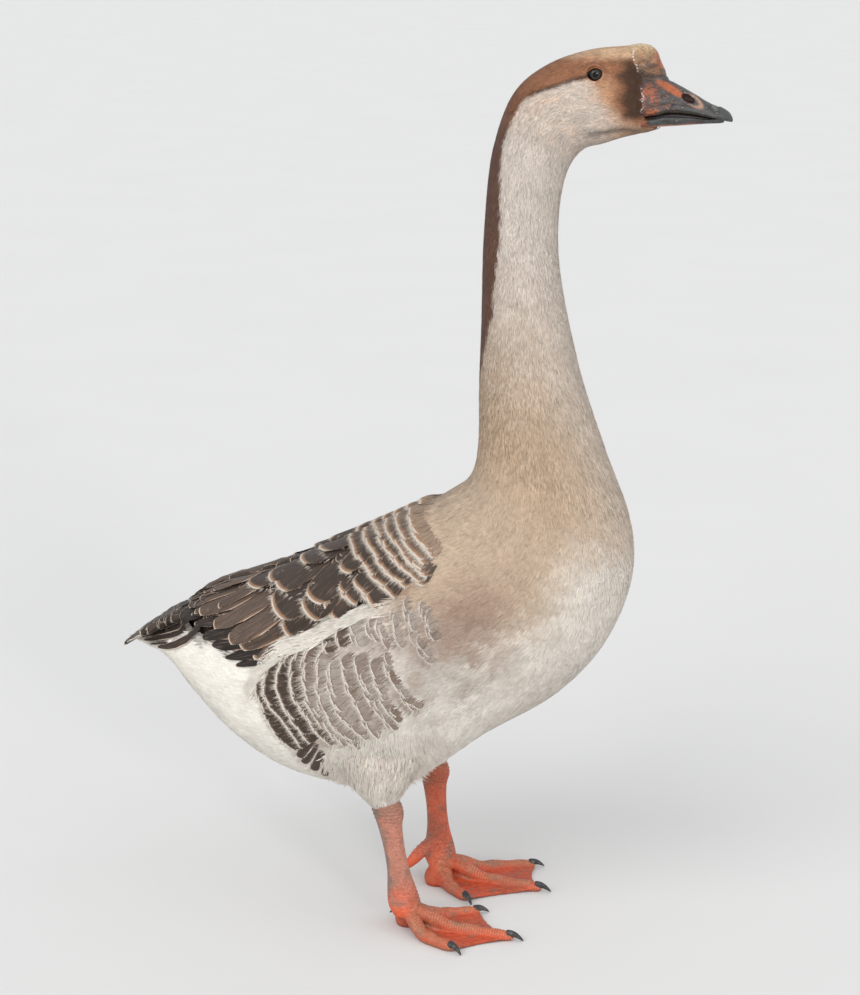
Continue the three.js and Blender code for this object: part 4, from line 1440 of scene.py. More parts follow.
def leg_colours_and_shade(p, foot, on_toe):
    """Orange-red skin with grey-brown stains, greyer above, tan toes and redder webs, and painted shade on
    the far, left shank.
    """
    x, y, z = xyz(p)
    rough, broad, fine = noise(p, 9, 31) - 0.5, noise(p, 26, 32) - 0.5, noise(p, 3, 33) - 0.5
    # The shares of pale, brown and grey skin and the last tint over the shank, for the right and the left
    # shank. The left shank is the far one, and its darker, redder last tint is painted shade.
    pale, brown, grey, wash_and_shade = ((0.9, 0.6, 0.75, (0.89, 0.82, 0.78)) if foot.side < 0 else
                               (0.25, 0.3, 0.35, (0.92, 0.66, 0.5)))
    above = smooth(24, 40, z)
    # The line down the middle of the shank: what is behind it is greyer.
    axis = foot.pose["hock"] + (foot.ankle - foot.pose["hock"]) * (HOCK_Z - z) / (HOCK_Z - ANKLE_Z)
    rgb = layered(
        "leg", ("a94f35", smooth(-0.2, 0.3, broad)),
        ("b95c3c", 0.7 * on_toe),
        ("ab7355", 0.7 * on_toe * smooth(-0.15, 0.25, rough)),
        ("b8492c", 0.75 * ((1 - on_toe) * fall(10, 20, z))),
        ("bb8270", pale * smooth(16, 60, z + 24 * rough)),
        ("7d5f50", 0.6 * smooth(0.12, 0.38, rough + 0.5 * fine)),
        ("8a6a58", brown * smooth(92, 112, z + 16 * rough)),
        ("77706a", grey * smooth(3, 9, axis - x + 6 * rough) * above))
    rgb = layered(
        blend(rgb, rgb * wash_and_shade, smooth(24, 50, z)),
        ("9a6a4e", 0.28 * smooth(-0.1, 0.25, broad + 0.6 * fine) * (1 - above)),
        ("7f3322", 0.6 * fall(0.5, 4, z)))
    return np.clip(rgb * (1 + 0.14 * fine)[..., None], 0, 1)


def make_legs():
    skin = leg_material()
    for name in SIDES:
        foot = Foot(name)
        parts = [foot.shank(), foot.pad(), foot.hind_toe(), foot.web("inner", "middle"),
                 foot.web("middle", "outer"), *map(foot.toe, TOES), *foot.heel()]
        leg = join(f"leg_skin_{name}", parts)
        one_skin(leg, VOXEL["leg"], 5)
        p = points_of(leg) / MM
        outward = np.empty(len(leg.data.vertices) * 3, np.float32)
        leg.data.vertices.foreach_get("normal", outward)
        scutes = foot.scutes(p)
        on_toe = scutes[:, 2] * fall(24, 34, p[:, 2])
        # Creases round the hock and over the ankle, and rings on the toes.
        z = p[:, 2] + 5 * (noise(p, 14, 35) - 0.5)
        crease = 0.5 * np.sin(z * 2.0) * (hump(z, 106, 9) + 0.8 * hump(z, 32, 9)) * (1 - on_toe)
        ring = 0.07 * (np.abs(np.sin(scutes[:, 0] * pi / SCUTE)) - 0.6) * on_toe
        ring = ring * smooth(2, 6, p[:, 2])
        p = p + outward.reshape(-1, 3) * (crease + ring)[:, None]
        p[:, 2] = np.maximum(p[:, 2], 0.0)
        put_points(leg, p)
        rgb = leg_colours_and_shade(p, foot, on_toe)
        scutes[:, 2] = on_toe
        lie = leg.data.attributes.new("scutes", "FLOAT_VECTOR", "POINT")
        lie.data.foreach_set("vector", scutes.astype(np.float32).ravel())
        finish(leg, skin, [f"shank_{name}", f"foot_{name}", f"hind_toe_{name}"], rgb)


def make_claws():
    horn = horn_material("Claw horn", 700, 0.0003, 0.38, 0.2)
    for name in SIDES:
        foot = Foot(name)
        claws = [(toe, foot.claw(toe)) for toe in ("outer", "middle", "inner")]
        for toe, claw in [*claws, ("hind", foot.hind_claw())]:
            grey = noise(points_of(claw) / MM, 2.5, 34)
            finish(claw, horn, [f"claw_{toe}_{name}"],
                   blend("claw", "6f6760", 0.5 * smooth(0.5, 0.8, grey)))


# ---- skin
SKIN_STATIONS = [(0, 0), (0.03, 0.4), (0.5, 10), (0.72, NAPE), (1, FACE)]  # share of the rings, station
# Painted shade: the skin under the coat is painted darker, for the shade the feathers cast on it.
SKIN_SHADE = 0.94  # the skin is this much darker than the feathers over it


def net_shape(net, s, a, inset, closed):
    """Points under a hide, drawn together to a line where closed is true."""
    point, normal, _, _ = net.read(s, a)
    left, _, _, _ = net.read(s, np.full_like(a, pi / 2))
    right, _, _, _ = net.read(s, np.full_like(a, -pi / 2))
    return np.where(closed[:, None], (left + right) / 2, point - normal * inset[:, None])


def make_skin():
    """One skin for the trunk, neck, head and thighs, inside the tips of the coat."""
    share, station = np.array(SKIN_STATIONS, float).T

    def ends(t):
        return (t < 1e-6) | (t > 1 - 1e-6)

    def place(t, a):
        s = np.interp(t, share, station)
        return net_shape(hide, s, a, coat_depth(s), ends(t))

    parts = [wrap("goose_skin", place, 300, 150,
                  lambda t, a: marking_and_shadow(np.interp(t, share, station), a) * SKIN_SHADE)]
    for name, net in thigh_hides.items():
        def thigh_place(t, a, net=net):
            return net_shape(net, 4 * t, a, np.interp(t, [0, 0.85, 1], [5, 3, 1.5]), ends(t))

        parts.append(wrap(f"thigh_skin_{name}", thigh_place, 40, 48,
                          lambda t, a: thigh_marking(4 * t, a) * SKIN_SHADE))
    parts.append(wrap("chin_skin", lambda t, a: chin_hide.read(3 * t, a)[0], 24, 32,
                      lambda t, a: chin_marking(t, a) * SKIN_SHADE))
    finish(join("goose_skin", parts), skin_material(), [
        "trunk", "neck_lower", "neck_upper", "head", "thigh_right", "thigh_left"])


# ---- the coat
LEAN_SOFT = 30  # points to each side over which the lean of feathers along a line is evened out
HAIR_REACH = 0.7  # the share of a loose hair that hangs beyond its place
EDGE_FEATHERS = 1500  # round the root of the bill
UNDERTAIL_FEATHERS = 1100


def by_station(stations, values):
    """A measure that changes along a hide, as a function for Hide.scatter and plumage."""
    return lambda s, a, p: np.interp(s, stations, values)


def plumage(coat, shape, spacing, s_range, keep, size, rgb=marking_and_shadow, net=hide, seed=0, **lie):
    """Small feathers over a stretch of a hide. size holds their length and width.

    Any measure may be a function of s, a and point.
    """
    s, a = net.scatter(spacing, s_range, keep, seed)
    point, _, along, _ = net.read(s, a)

    def here(value):
        return value(s, a, point) if callable(value) else value

    length, width = (np.broadcast_to(here(value), s.shape) for value in size)
    random = np.random.default_rng(seed)
    length = length * (0.85 + 0.3 * random.random(len(s)))
    width = width * (0.85 + 0.3 * random.random(len(s)))
    colours = rgb(s - length * 0.75 / along, a)
    lie = {key: here(value) for key, value in lie.items()}
    lie["over"] = lie.get("over", 0.3) + lie.pop("loose", 0.0) * (random.random(len(s)) - 0.4)
    lie["lean"] = lie.get("lean", 0.0) + lie.pop("tousle", 0.12) * (random.random(len(s)) - 0.5) * 2
    coat.lay(net, shape, s, a, length, width, colours, seed=seed, **lie)


def make_head_coat():
    """Short smooth feathers of the face and crown, longer towards the nape."""
    coat = Coat("head_coat")
    short = lock(2, 0.5, (0, 0.5), (0.8, 0.85))

    def off_eye(s, a, p):
        q = loft(BODY, s, a)
        eye = np.hypot((q[..., 0] - EYE["x"] - 0.9) / 7.8, (q[..., 2] - EYE["z"]) / 5.8)
        return (eye > 1.0) | (np.abs(q[..., 1]) < 8)

    plumage(coat, short, by_station([14.6, 15.6, 17, FACE], [1.5, 1.15, 0.97, 0.86]), (14.8, FACE), off_eye,
            (by_station([14.6, 16, 17.5, FACE], [9, 7, 5.6, 4.6]),
             by_station([14.6, 16, FACE], [1.9, 1.5, 1.2])),
            seed=1, under=lambda s, a, p: -0.35 * coat_depth(s), over=0.1, loose=0.15, stray=0.8,
            uneven=0.5, tousle=0.24, root_shade=0.86, vary=0.62)
    # A ragged edge over the bill and the knob, and the chin under the lower bill.
    random = np.random.default_rng(12)
    n = EDGE_FEATHERS
    turn = (random.random(n) - 0.5) * 2 * pi
    ragged = 0.32 * noise(np.stack([turn * 60, turn * 0, turn * 0], -1), 12, 9)
    ahead = (ragged + 1.05 * smooth(146, 162, off_back(turn))) * random.random(n)
    s = FACE + ahead
    coat.lay(hide, short, s, turn, 4.6, 1.2, marking_and_shadow(np.minimum(s - 0.2, FACE), turn),
             lean=(random.random(n) - 0.5) * 0.5, under=-0.9, over=0.25, stray=0.8, uneven=0.5, vary=0.4,
             seed=13)
    plumage(coat, short, 0.9, (0.8, 2.95), lambda s, a, p: np.abs(a) > 1.2, (4.4, 1.2), rgb=chin_marking,
            net=chin_hide, seed=21, under=-0.8, over=0.1, loose=0.4, stray=0.8, uneven=0.5, tousle=0.3,
            vary=0.5)
    coat.build(down_material(), ["head"])


def make_neck_coat():
    """Silky feathers that run down the neck, in fine lines."""
    down = down_material()
    for name, stretch, seed in (("neck_upper_coat", (13.2, 15.1), 2), ("neck_lower_coat", (10.6, 13.4), 3)):
        coat = Coat(name)
        plumage(coat, lock(3, 0.45), by_station([10.6, 12, 13.5, 15.1], [2.9, 2.4, 1.9, 1.65]), stretch,
                None,
                (by_station([10.6, 12, 13.5, 15.1], [19, 16, 13, 9.5]),
                 by_station([10.6, 12, 15.1], [4.0, 3.0, 2.0])),
                seed=seed, under=lambda s, a, p: -0.3 * coat_depth(s), over=0.15, loose=0.3, stray=0.5,
                uneven=0.5, tousle=0.14, root_shade=0.84, vary=0.44)
        coat.build(down, ["neck_lower", "neck_upper"])


def on_flank(s, a):
    """1 where the barred feathers of the flank lie."""
    turn = off_back(a)
    rear = np.interp(turn, [60, 74, 82, 92, 105, 112, 122, 129],
                     [5.4, 4.0, 3.8, 3.7, 3.86, 4.0, 4.2, 4.5])
    low = np.interp(s, [3.6, 4.5, 5.5, 6.6], [112, 126, 124, 112])
    return (smooth(-0.05, 0.15, s - rear) * fall(5.9, 6.9, s) * fall(-4, 6, turn - low)
            * smooth(-3, 2, turn - wing_at(s)[1]))


def down_to_thigh(s, a, p):
    """Feathers above the thigh turn down over it."""
    return 0.9 * hump(s, 5.5, 1.1) * smooth(104, 132, off_back(a))


def open_hide(s, a, p):
    """Where the body's own small feathers show."""
    return (on_wing(s, a) < 0.5) & (on_flank(s, a) < 0.35 + 0.3 * noise(p, 4, 7))


def make_body_coat():
    """Breast, belly, vent, back and thighs."""
    down = down_material()
    ragged = lock(5, 0.35, (0, 0.5, 0.85), (1.0, 1.05, 0.7))
    size = (by_station([0, 2, 6, 9, 11.4], [18, 22, 22, 20, 17]),
            by_station([0, 2, 6, 9, 11.4], [6, 7, 7, 6, 4.2]))
    for name, first, last, gap, seed in (
            ("collar_coat", 8.9, 11.2, 3.0, 4), ("breast_coat", 6.4, 9.1, 3.3, 5),
            ("belly_coat", 3.4, 6.6, 3.2, 6), ("vent_coat", 0, 3.6, 3.2, 7)):
        coat = Coat(name)
        plumage(coat, ragged, gap, (first, last), open_hide, size, seed=seed, loose=0.5, stray=0.35,
                uneven=0.4, tousle=0.14, root_shade=0.92, over=0.15, lean=down_to_thigh,
                under=lambda s, a, p: -0.2 * coat_depth(s))
        coat.build(down, ["trunk"])
    for name, net in thigh_hides.items():
        coat = Coat(f"thigh_coat_{name}")
        plumage(coat, lock(3, 0.3), by_station([1, 3, 4], [3.2, 2.4, 1.7]), (0.3, 3.95), None,
                (by_station([0, 3, 4], [19, 14, 8]), by_station([0, 4], [3.8, 1.8])),
                rgb=thigh_marking, net=net, seed=6, under=by_station([0, 3.4, 4], [-3.5, -2, -1]),
                over=0.3, loose=0.9, stray=0.8, uneven=0.6, lean=pi, tousle=0.3)
        # Belly feathers that hang over the thigh's upper edge.
        side = SIDES[name]
        s, a = hide.scatter(1.9, (4.4, 7.2), lambda s, a, p: hump(s, 5.8, 0.65) * hump(
            np.degrees(a * side), 130, 15) > 0.16, 16)
        random = np.random.default_rng(17)
        fade = hump(s, 5.8, 0.55) * hump(off_back(a), 134, 13)
        grey = 0.5 * noise(hide.read(s, a)[0], 6, 18) * random.random(len(s))
        length = 20 + 24 * random.random(len(s))
        coat.lay(hide, lock(4, 0.4, (0, 0.4, 0.8), (0.3, 0.5, 0.35)), s, a, length, 5,
                 blend("white", "smudge", 0.05 + grey), lean=1.3 + 0.5 * (random.random(len(s)) - 0.5),
                 under=-2, rise=1.2, over=0.8 + 15.0 * fade * np.sqrt(random.random(len(s))), stray=0.9,
                 uneven=0.6, bow=3, seed=18)
        coat.build(down, [f"thigh_{name}"])


# Lines along which the tips of feathers lie, as station and degrees from the back.
SHOULDER_ROWS = [
    [(6.36, 3), (6.45, 16), (6.57, 26), (6.78, 40), (6.98, 48), (7.13, 52)],
    [(6.02, 3), (6.1, 14), (6.28, 26), (6.51, 38), (6.7, 46), (6.86, 53)],
    [(5.74, 3), (5.82, 12), (5.96, 22), (6.26, 36), (6.52, 46), (6.75, 54), (6.93, 60)],
    [(5.5, 6), (5.59, 14), (5.91, 31), (6.18, 42), (6.43, 50), (6.66, 58), (6.84, 63)],
    [(5.22, 2), (5.3, 8), (5.42, 20), (5.62, 30), (5.86, 40), (6.05, 48), (6.3, 55), (6.51, 60)],
    [(4.92, 2), (5.0, 10), (5.2, 24), (5.45, 36), (5.67, 44), (5.85, 50), (6.06, 56), (6.27, 62)],
    [(5.5, 50), (5.6, 54), (5.72, 58), (5.86, 64)],
    [(5.19, 50), (5.32, 55), (5.5, 60)],
    [(4.88, 52), (4.96, 58), (5.1, 64)],
]
SCAPULARS = [
    [(4.7, 5), (4.44, 10), (4.52, 18), (4.8, 30)],
    [(4.25, 4), (4.1, 14), (4.18, 22), (4.48, 33)],
    [(3.86, 26), (3.78, 32), (3.92, 40), (4.2, 47)],
    [(3.64, 20), (3.58, 27), (3.78, 38)],
    [(4.62, 44), (4.55, 48), (4.74, 54), (4.96, 58)],
    [(5.13, 36), (5.18, 41), (5.46, 47)],
    [(4.42, 48), (4.48, 54), (4.62, 59), (4.8, 65)],
    [(3.75, 40), (3.84, 48), (4.01, 56), (4.24, 63)],
    [(4.08, 59), (4.16, 65), (4.3, 70)],
    [(3.17, 22), (3.18, 28), (3.34, 35), (3.62, 38)],
]
# Long feathers of the folded wing: tip, root, width, how high the tip lies, pale edge.
LONG_FEATHERS = [
    ((2.22, 52), (3.62, 27), 26, 0.9, 0.9),
    ((2.66, 60), (4.0, 37), 24, 0.7, 0.9),
    ((3.06, 67), (4.3, 47), 23, 0.5, 0.9),
    ((3.34, 74), (4.4, 58), 20, 0.4, 1.8),
    ((3.55, 78), (4.5, 64), 16, 0.3, 2.0),
    ((2.62, 44), (3.9, 18), 20, 1.0, 0.8),
    ((2.36, 30), (3.7, 6), 17, 1.2, 0.8),
    ((2.08, 27), (3.4, 5), 16, 1.0, 0.8),
    ((1.86, 18), (3.2, 4), 15, 1.1, 0.7),
    ((1.66, 13), (3.0, 3), 14, 1.2, 0.7),
    ((1.52, 17), (2.8, 7), 14, 0.9, 0.7),
    ((1.62, 24), (2.9, 12), 14, 0.8, 0.7),
    ((1.74, 33), (3.0, 18), 14, 0.7, 0.7),
    ((1.82, 41), (3.1, 24), 14, 0.6, 0.7),
    ((2.02, 47), (3.2, 30), 15, 0.5, 0.7),
]
PRIMARIES = [
    ((1.98, 53), (3.6, 42), 14, 0.2, 0.5),
    ((2.12, 60), (3.7, 50), 14, 0.3, 0.5),
    ((2.32, 68), (3.8, 57), 14, 0.4, 0.5),
    ((2.62, 76), (4.0, 64), 14, 0.6, 0.5),
    ((2.96, 81), (4.2, 68), 14, 0.8, 0.5),
    ((3.2, 83), (4.5, 70), 12, 0.6, 0.5),
]
# Barred rows of the flank, from the rear, with how dark each bar is and how broad its pale edge.
FLANK_ROWS = [
    (1.0, 3.0, [(3.92, 74), (3.72, 82), (3.62, 92), (3.79, 105), (3.9, 112), (4.08, 122), (4.41, 129)]),
    (1.0, 3.4, [(4.1, 74), (3.9, 82), (3.8, 91), (3.86, 100), (4.07, 106), (4.29, 114), (4.5, 124)]),
    (0.9, 3.4, [(4.32, 74), (4.14, 80), (4.04, 88), (4.08, 95), (4.2, 101), (4.42, 110), (4.66, 120)]),
    (0.8, 3.4, [(4.52, 73), (4.38, 79), (4.32, 88), (4.38, 95), (4.52, 102), (4.78, 112), (5.0, 121)]),
    (0.6, 3.4, [(4.74, 72), (4.6, 78), (4.55, 87), (4.62, 95), (4.76, 103), (4.98, 112), (5.22, 122)]),
    (0.42, 3.4, [(4.98, 74), (4.83, 81), (4.8, 89), (4.87, 98), (5.03, 107), (5.22, 115), (5.46, 124)]),
    (0.4, 3.4, [(5.02, 84), (5.08, 94), (5.19, 103), (5.37, 112), (5.55, 120)]),
    (0.5, 3.4, [(5.24, 84), (5.32, 92), (5.46, 101), (5.6, 110), (5.76, 120)]),
    (0.46, 3.4, [(5.5, 84), (5.6, 92), (5.74, 101), (5.88, 110), (6.02, 118)]),
    (0.5, 3.4, [(5.76, 88), (5.86, 97), (5.98, 106), (6.14, 114)]),
    (0.5, 3.4, [(6.00, 86), (6.08, 95), (6.22, 103), (6.44, 114)]),
    (0.75, 2.4, [(4.93, 68), (4.94, 72), (5.0, 77)]),
    (0.75, 2.4, [(5.17, 68), (5.16, 71), (5.22, 76)]),
    (0.4, 2.6, [(5.44, 70), (5.5, 74), (5.56, 78)]),
    (0.4, 2.8, [(5.77, 68), (5.78, 72), (5.88, 78)]),
    (0.4, 2.8, [(5.94, 70), (5.97, 75), (6.06, 82)]),
    (0.3, 2.8, [(6.24, 68), (6.26, 75), (6.34, 84)]),
    (0.4, 2.8, [(6.48, 67), (6.53, 74), (6.58, 82)]),
    (0.5, 2.8, [(6.8, 72), (6.83, 80), (6.9, 88)]),
    (0.45, 2.8, [(6.6, 84), (6.68, 90), (6.8, 96)]),
]
LOW_CLUSTER = [((4.42, 132), 1.0), ((4.5, 137), 0.9), ((4.66, 143), 1.0), ((4.84, 148), 0.8),
               ((5.04, 147), 0.7)]
FLANK_ROLL = [(7.3, 70), (6.62, 66), (5.76, 63.5), (5.2, 64.5), (4.83, 67), (4.42, 68), (4.06, 72),
              (3.8, 79), (3.63, 88)]


def line_through(line, steps):
    """Stations and angles of a smooth curve through points given in stations and degrees."""
    s, degrees = catmull(line, np.linspace(0, len(line) - 1, steps)).T
    return s, np.radians(degrees)


def tip_line(line, side, gap):
    """Even tips along a line, the lean of feathers that point back across it, and its length."""
    s, a = line_through(line, 240)
    _, _, along, around = hide.read(s, a)
    forward, down = np.gradient(s) * along, np.gradient(a) * around
    reach = np.cumsum(np.hypot(forward, down))
    count = max(1, int(round(reach[-1] / gap)))
    at = (np.arange(count) + 0.5) / count * reach[-1]
    lean = np.arctan2(forward * np.sign(down), np.abs(down))
    window = 2 * LEAN_SOFT + 1
    lean = np.convolve(np.pad(lean, LEAN_SOFT, mode="edge"), np.ones(window) / window, mode="valid")
    s, a, lean = (np.interp(at, reach, row) for row in (s, a, lean))
    return s, a * side, lean, reach[-1]


def hairs_at(hairs, s, a, lean, over, seed, length=6.0, rgb=None, n=4):
    """Loose pale barbs that hang over the tips of a row, n to each tip."""
    random = np.random.default_rng(seed)
    s, a, lean, over = (np.repeat(np.broadcast_to(v, np.shape(s)), n) for v in (s, a, lean, over))
    _, _, along, around = hide.read(s, a)
    slide = (random.random(len(s)) - 0.5) * 11
    s = s + slide * np.sin(lean) / along
    a = a + np.where(a < 0, -1, 1) * slide * np.cos(lean) / around
    if rgb is None:
        rgb = blend("cream", "fringe", random.random(len(s)))
    length = length * (0.5 + 0.9 * random.random(len(s)))
    hairs.lay(hide, lock(4, 0.5, (0, 0.35), (0.16, 0.42)), s, a, length, 1.7, rgb,
              lean=lean + 0.5 * (random.random(len(s)) - 0.5), anchor=1 - HAIR_REACH, under=over - 0.9,
              over=over + 0.25, stray=0.8, uneven=0.8, root_shade=0.92, seed=seed)


def quill(coat, shape, side, tip, root, width, rgb, **lie):
    """A long feather between two places on the body, each a station and degrees from the back."""
    (s1, a1), (s0, a0) = ((s, radians(degrees)) for s, degrees in (tip, root))
    _, _, along, around = (v[0] for v in hide.read(np.array([(s0 + s1) / 2]), np.array([(a0 + a1) / 2])))
    back, down = (s0 - s1) * along, (a1 - a0) * around
    coat.lay(hide, shape, [s1], [a1 * side], hypot(back, down), width, rgb,
             lean=atan2(down, back), anchor=1, **lie)


def barred_row(coat, hairs, line, side, rgb, edge, seed, length=30, over=1.3, hair=6.0, hair_rgb=None, n=3,
               loose=1.0):
    """A row of overlapping feathers whose pale edges run together into a ragged band."""
    s, a, lean, _ = tip_line(line, side, 5.6)
    random = np.random.default_rng(seed)
    _, _, along, around = hide.read(s, a)
    lean = lean + 0.2 * loose * (random.random(len(s)) - 0.5)
    slip = 2.4 * loose * (random.random(len(s)) - 0.5)
    s, a = s - slip * np.cos(lean) / along, a + side * slip * np.sin(lean) / around
    coat.lay(hide, vane(30), s, a, length, 13, rgb(s, a), lean=lean, anchor=1, under=-3, over=over,
             rounding=0.8, fray=2.4, camber=0.1, roll=0.1, edge=edge, side_edge=(3.0, 0.4), uneven=1.4,
             seed=seed)
    colours = None if hair_rgb is None else hair_rgb(np.repeat(s, n), np.repeat(a, n))
    hairs_at(hairs, s, a, lean, over + 0.05, seed + 1, length=hair, rgb=colours, n=n)


def make_wings():
    """The folded wings: shoulder feathers, scapulars, coverts and quills."""
    feather, hairy = quill_material("Wing feathers", 0.9, 1.6, 0.6), down_material()
    wide_shape, long_shape, quill_shape = vane(60, 9, 0.5), vane(50, 9, 0.42), vane(40, 9, 0.2)
    for name, side in SIDES.items():
        wing = Coat(f"wing_coat_{name}", patterned=32)
        hairs = Coat(f"wing_hairs_{name}")

        def inside(s, a, p):
            turn = np.degrees(a * side)
            return (turn > 4) & (turn < wing_at(s)[1] - 18)

        # Short dark feathers under everything.
        s, a = hide.scatter(11, (2.4, 6.9), inside, 7)
        order = np.argsort(s)
        s, a = s[order], a[order]
        rgb = blend("slate", "dusk", noise(np.stack([s, a, a], -1), 0.3, 8))
        rgb = blend(rgb, blend("smudge", "buff", 0.5), smooth(6.0, 6.6, s))
        wing.lay(hide, vane(10), s, a, np.interp(s, [1, 3, 7], [44, 44, 28]), 18, rgb, anchor=0.7, under=-4,
                 over=-0.9, rounding=5, fray=0.8, lean=0.35, edge=0.4, seed=8)
        for k, (tip, root, width, high, edge) in enumerate(PRIMARIES + LONG_FEATHERS):
            dark = k < len(PRIMARIES)
            base = tone("dusk") if dark else blend("slate", "smudge", 0.16)
            rgb = base[None, :] * (0.9 + 0.2 * chance(np.array([[k, side, 3]]), 4))[:, None]
            quill(wing, quill_shape if dark else long_shape, side, tip, root, width, rgb, under=-2.5,
                  over=high + 1, rounding=6, rise=0.6, fray=0.9, camber=0.9, roll=1.1, ripple=0.8,
                  bow=3 * (k % 3 - 1), edge=edge, side_edge=(0.5, 0.0), uneven=0.9, seed=20 + k)
        for k, line in enumerate(SCAPULARS):
            s, a, lean, chord = tip_line(line, side, 1000)
            wing.lay(hide, wide_shape, s, a, 58, chord * 1.12, tone("slate")[None, :] * 0.92, lean=lean,
                     anchor=1, under=-3, over=2.2, rounding=chord * 0.22, fray=2.0, camber=0.7, roll=0.5,
                     ripple=0.4, edge=2.0, side_edge=(0.7, 0.1), uneven=1.1, seed=50 + k)
            s, a, lean, _ = tip_line(line, side, 5)
            hairs_at(hairs, s, a, lean, 2.0, 60 + k, length=4.4)
        for k, line in enumerate(reversed(SHOULDER_ROWS)):
            def shoulder_rgb(s, a):
                high = 0.4 * smooth(4.9, 5.7, s) * fall(14, 36, off_back(a))
                front = np.interp(k, [4, 6, 7, 8], [0, 0.12, 0.3, 0.66])
                return blend("slate", blend("smudge", "buff", 0.4), np.maximum(high, front))

            barred_row(wing, hairs, line, side, shoulder_rgb, 1.5, 80 + 2 * k, hair=3.8, over=1.7, n=6)
        wing.build(feather, [f"wing_{name}", f"wing_tip_{name}"], 0.3)
        hairs.build(hairy, [f"wing_{name}"])


def make_flanks():
    """Barred feathers of the flanks and the soft white roll over the wing's edge."""
    feather = quill_material("Flank feathers", 1.5, 0.9, 0.9, "smudge", "cream", "white")
    hairy = down_material()
    shape = vane(34, 7, 0.34)
    for name, side in SIDES.items():
        bars = Coat(f"flank_bars_{name}", patterned=24)
        hairs = Coat(f"flank_hairs_{name}")
        s, a = hide.scatter(3.6, (3.6, 7.2), lambda s, a, p: (on_flank(s, a) > 0.2) & (a * side > 0), 14)
        pale = 0.75 * noise(hide.read(s, a)[0], 7, 15)
        hairs.lay(hide, lock(5, 0.35), s, a, 18, 7, blend(blend("white", "smudge", 0.75), "white", pale),
                  lean=0.35, under=-3, over=-0.5, stray=0.5, uneven=0.5, seed=119)
        for k, (dark, edge, line) in enumerate(FLANK_ROWS):
            rear = dark > 0.7

            def flank_rgb(s, a):
                pale = blend(blend("white", "smudge", 0.6), blend("white", "slate", 0.4), 0.7)
                share = dark ** 0.7 * (0.6 + 0.8 * noise(np.stack([s * 9, a * 9, s * 0 + k], -1), 1, 16))
                deep = blend(blend("smudge", "slate", 0.55), "slate", smooth(0.5, 0.9, dark))
                return blend(pale, deep, np.clip(share * (1.15 + 0.95 * rear), 0, 1))

            def hair_rgb(s, a):
                grey = (0.45 if rear else 0.25) + 0.55 * smooth(5.3, 6.6, s)
                odd = chance(np.stack([s * 90, a * 90, s * 0 + k], -1), 2)
                return blend("white", "smudge", np.clip(0.15 + grey * 0.5 + 0.45 * odd, 0, 1))

            edge = edge * np.interp(line[0][0], [4.0, 5.6, 6.4], [0.42, 0.34, 0.16])
            hair, n, loose = (6.5, 6, 1.2) if rear else (10, 10, 2.0)
            barred_row(bars, hairs, line, side, flank_rgb, edge, 120 + 2 * k, length=26, over=0.9,
                       hair=hair, hair_rgb=hair_rgb, n=n, loose=loose)
        for k, ((s, degrees), dark) in enumerate(LOW_CLUSTER):
            at = np.array([s]), np.array([radians(degrees) * side])
            bars.lay(hide, shape, *at, 32, 11, tone("slate")[None, :] * (0.8 + 0.3 * dark),
                     lean=0.95 + 0.1 * k, anchor=1, under=-1, over=1.8, rounding=4, fray=2.4, edge=1.0,
                     uneven=1.2, bow=2 - k, side_edge=(0.4, 0.0), seed=180 + k)
            hairs_at(hairs, *at, 1.0, 1.9, 230 + k, length=9, n=14,
                     rgb=blend("white", "smudge", np.linspace(0, 0.6, 14)))
        bars.build(feather, ["trunk"], 0.5)
        s, a, _, _ = tip_line(FLANK_ROLL, side, 0.55)
        random = np.random.default_rng(190)
        line_s, line_a = line_through(FLANK_ROLL, 200)
        _, _, along, around = hide.read(s, a)
        run = np.interp(-s, -line_s, np.gradient(line_a) / np.gradient(line_s))
        lean = np.arctan2(-run * around, along)
        off = (random.random(len(s)) - 0.25) * (9 + 9 * fall(4.2, 5.6, s))
        s, a = s - off * 0.1 / along, a + side * off / around
        kept = random.random(len(s)) > 0.85 * smooth(6.2, 7.2, s)
        s, a, lean = s[kept], a[kept], lean[kept]
        rgb = blend("white", "cream", random.random(len(s)) * 0.8)
        rgb = blend(rgb, blend("buff", "smudge", 0.3), 0.9 * smooth(5.8, 6.9, s))
        hairs.lay(hide, lock(4, 0.4), s, a, 24 + 8 * random.random(len(s)), 6, rgb,
                  lean=lean + 0.25 * (random.random(len(s)) - 0.3), anchor=0.4, under=-3.2,
                  over=2.6 - 1.8 * smooth(5.9, 6.9, s), stray=0.5, uneven=0.5, seed=191)
        hairs.build(hairy, ["trunk"])


# Quills of the folded tail that droop over its sides: tip, root, width.
TAIL_SIDES = [
    ((-0.42, 52), (1.9, 24), 11),
    ((-0.2, 72), (2.0, 32), 11),
    ((0.12, 90), (2.1, 40), 11),
    ((0.42, 101), (2.2, 48), 11),
    ((0.78, 104), (2.3, 56), 10),
]


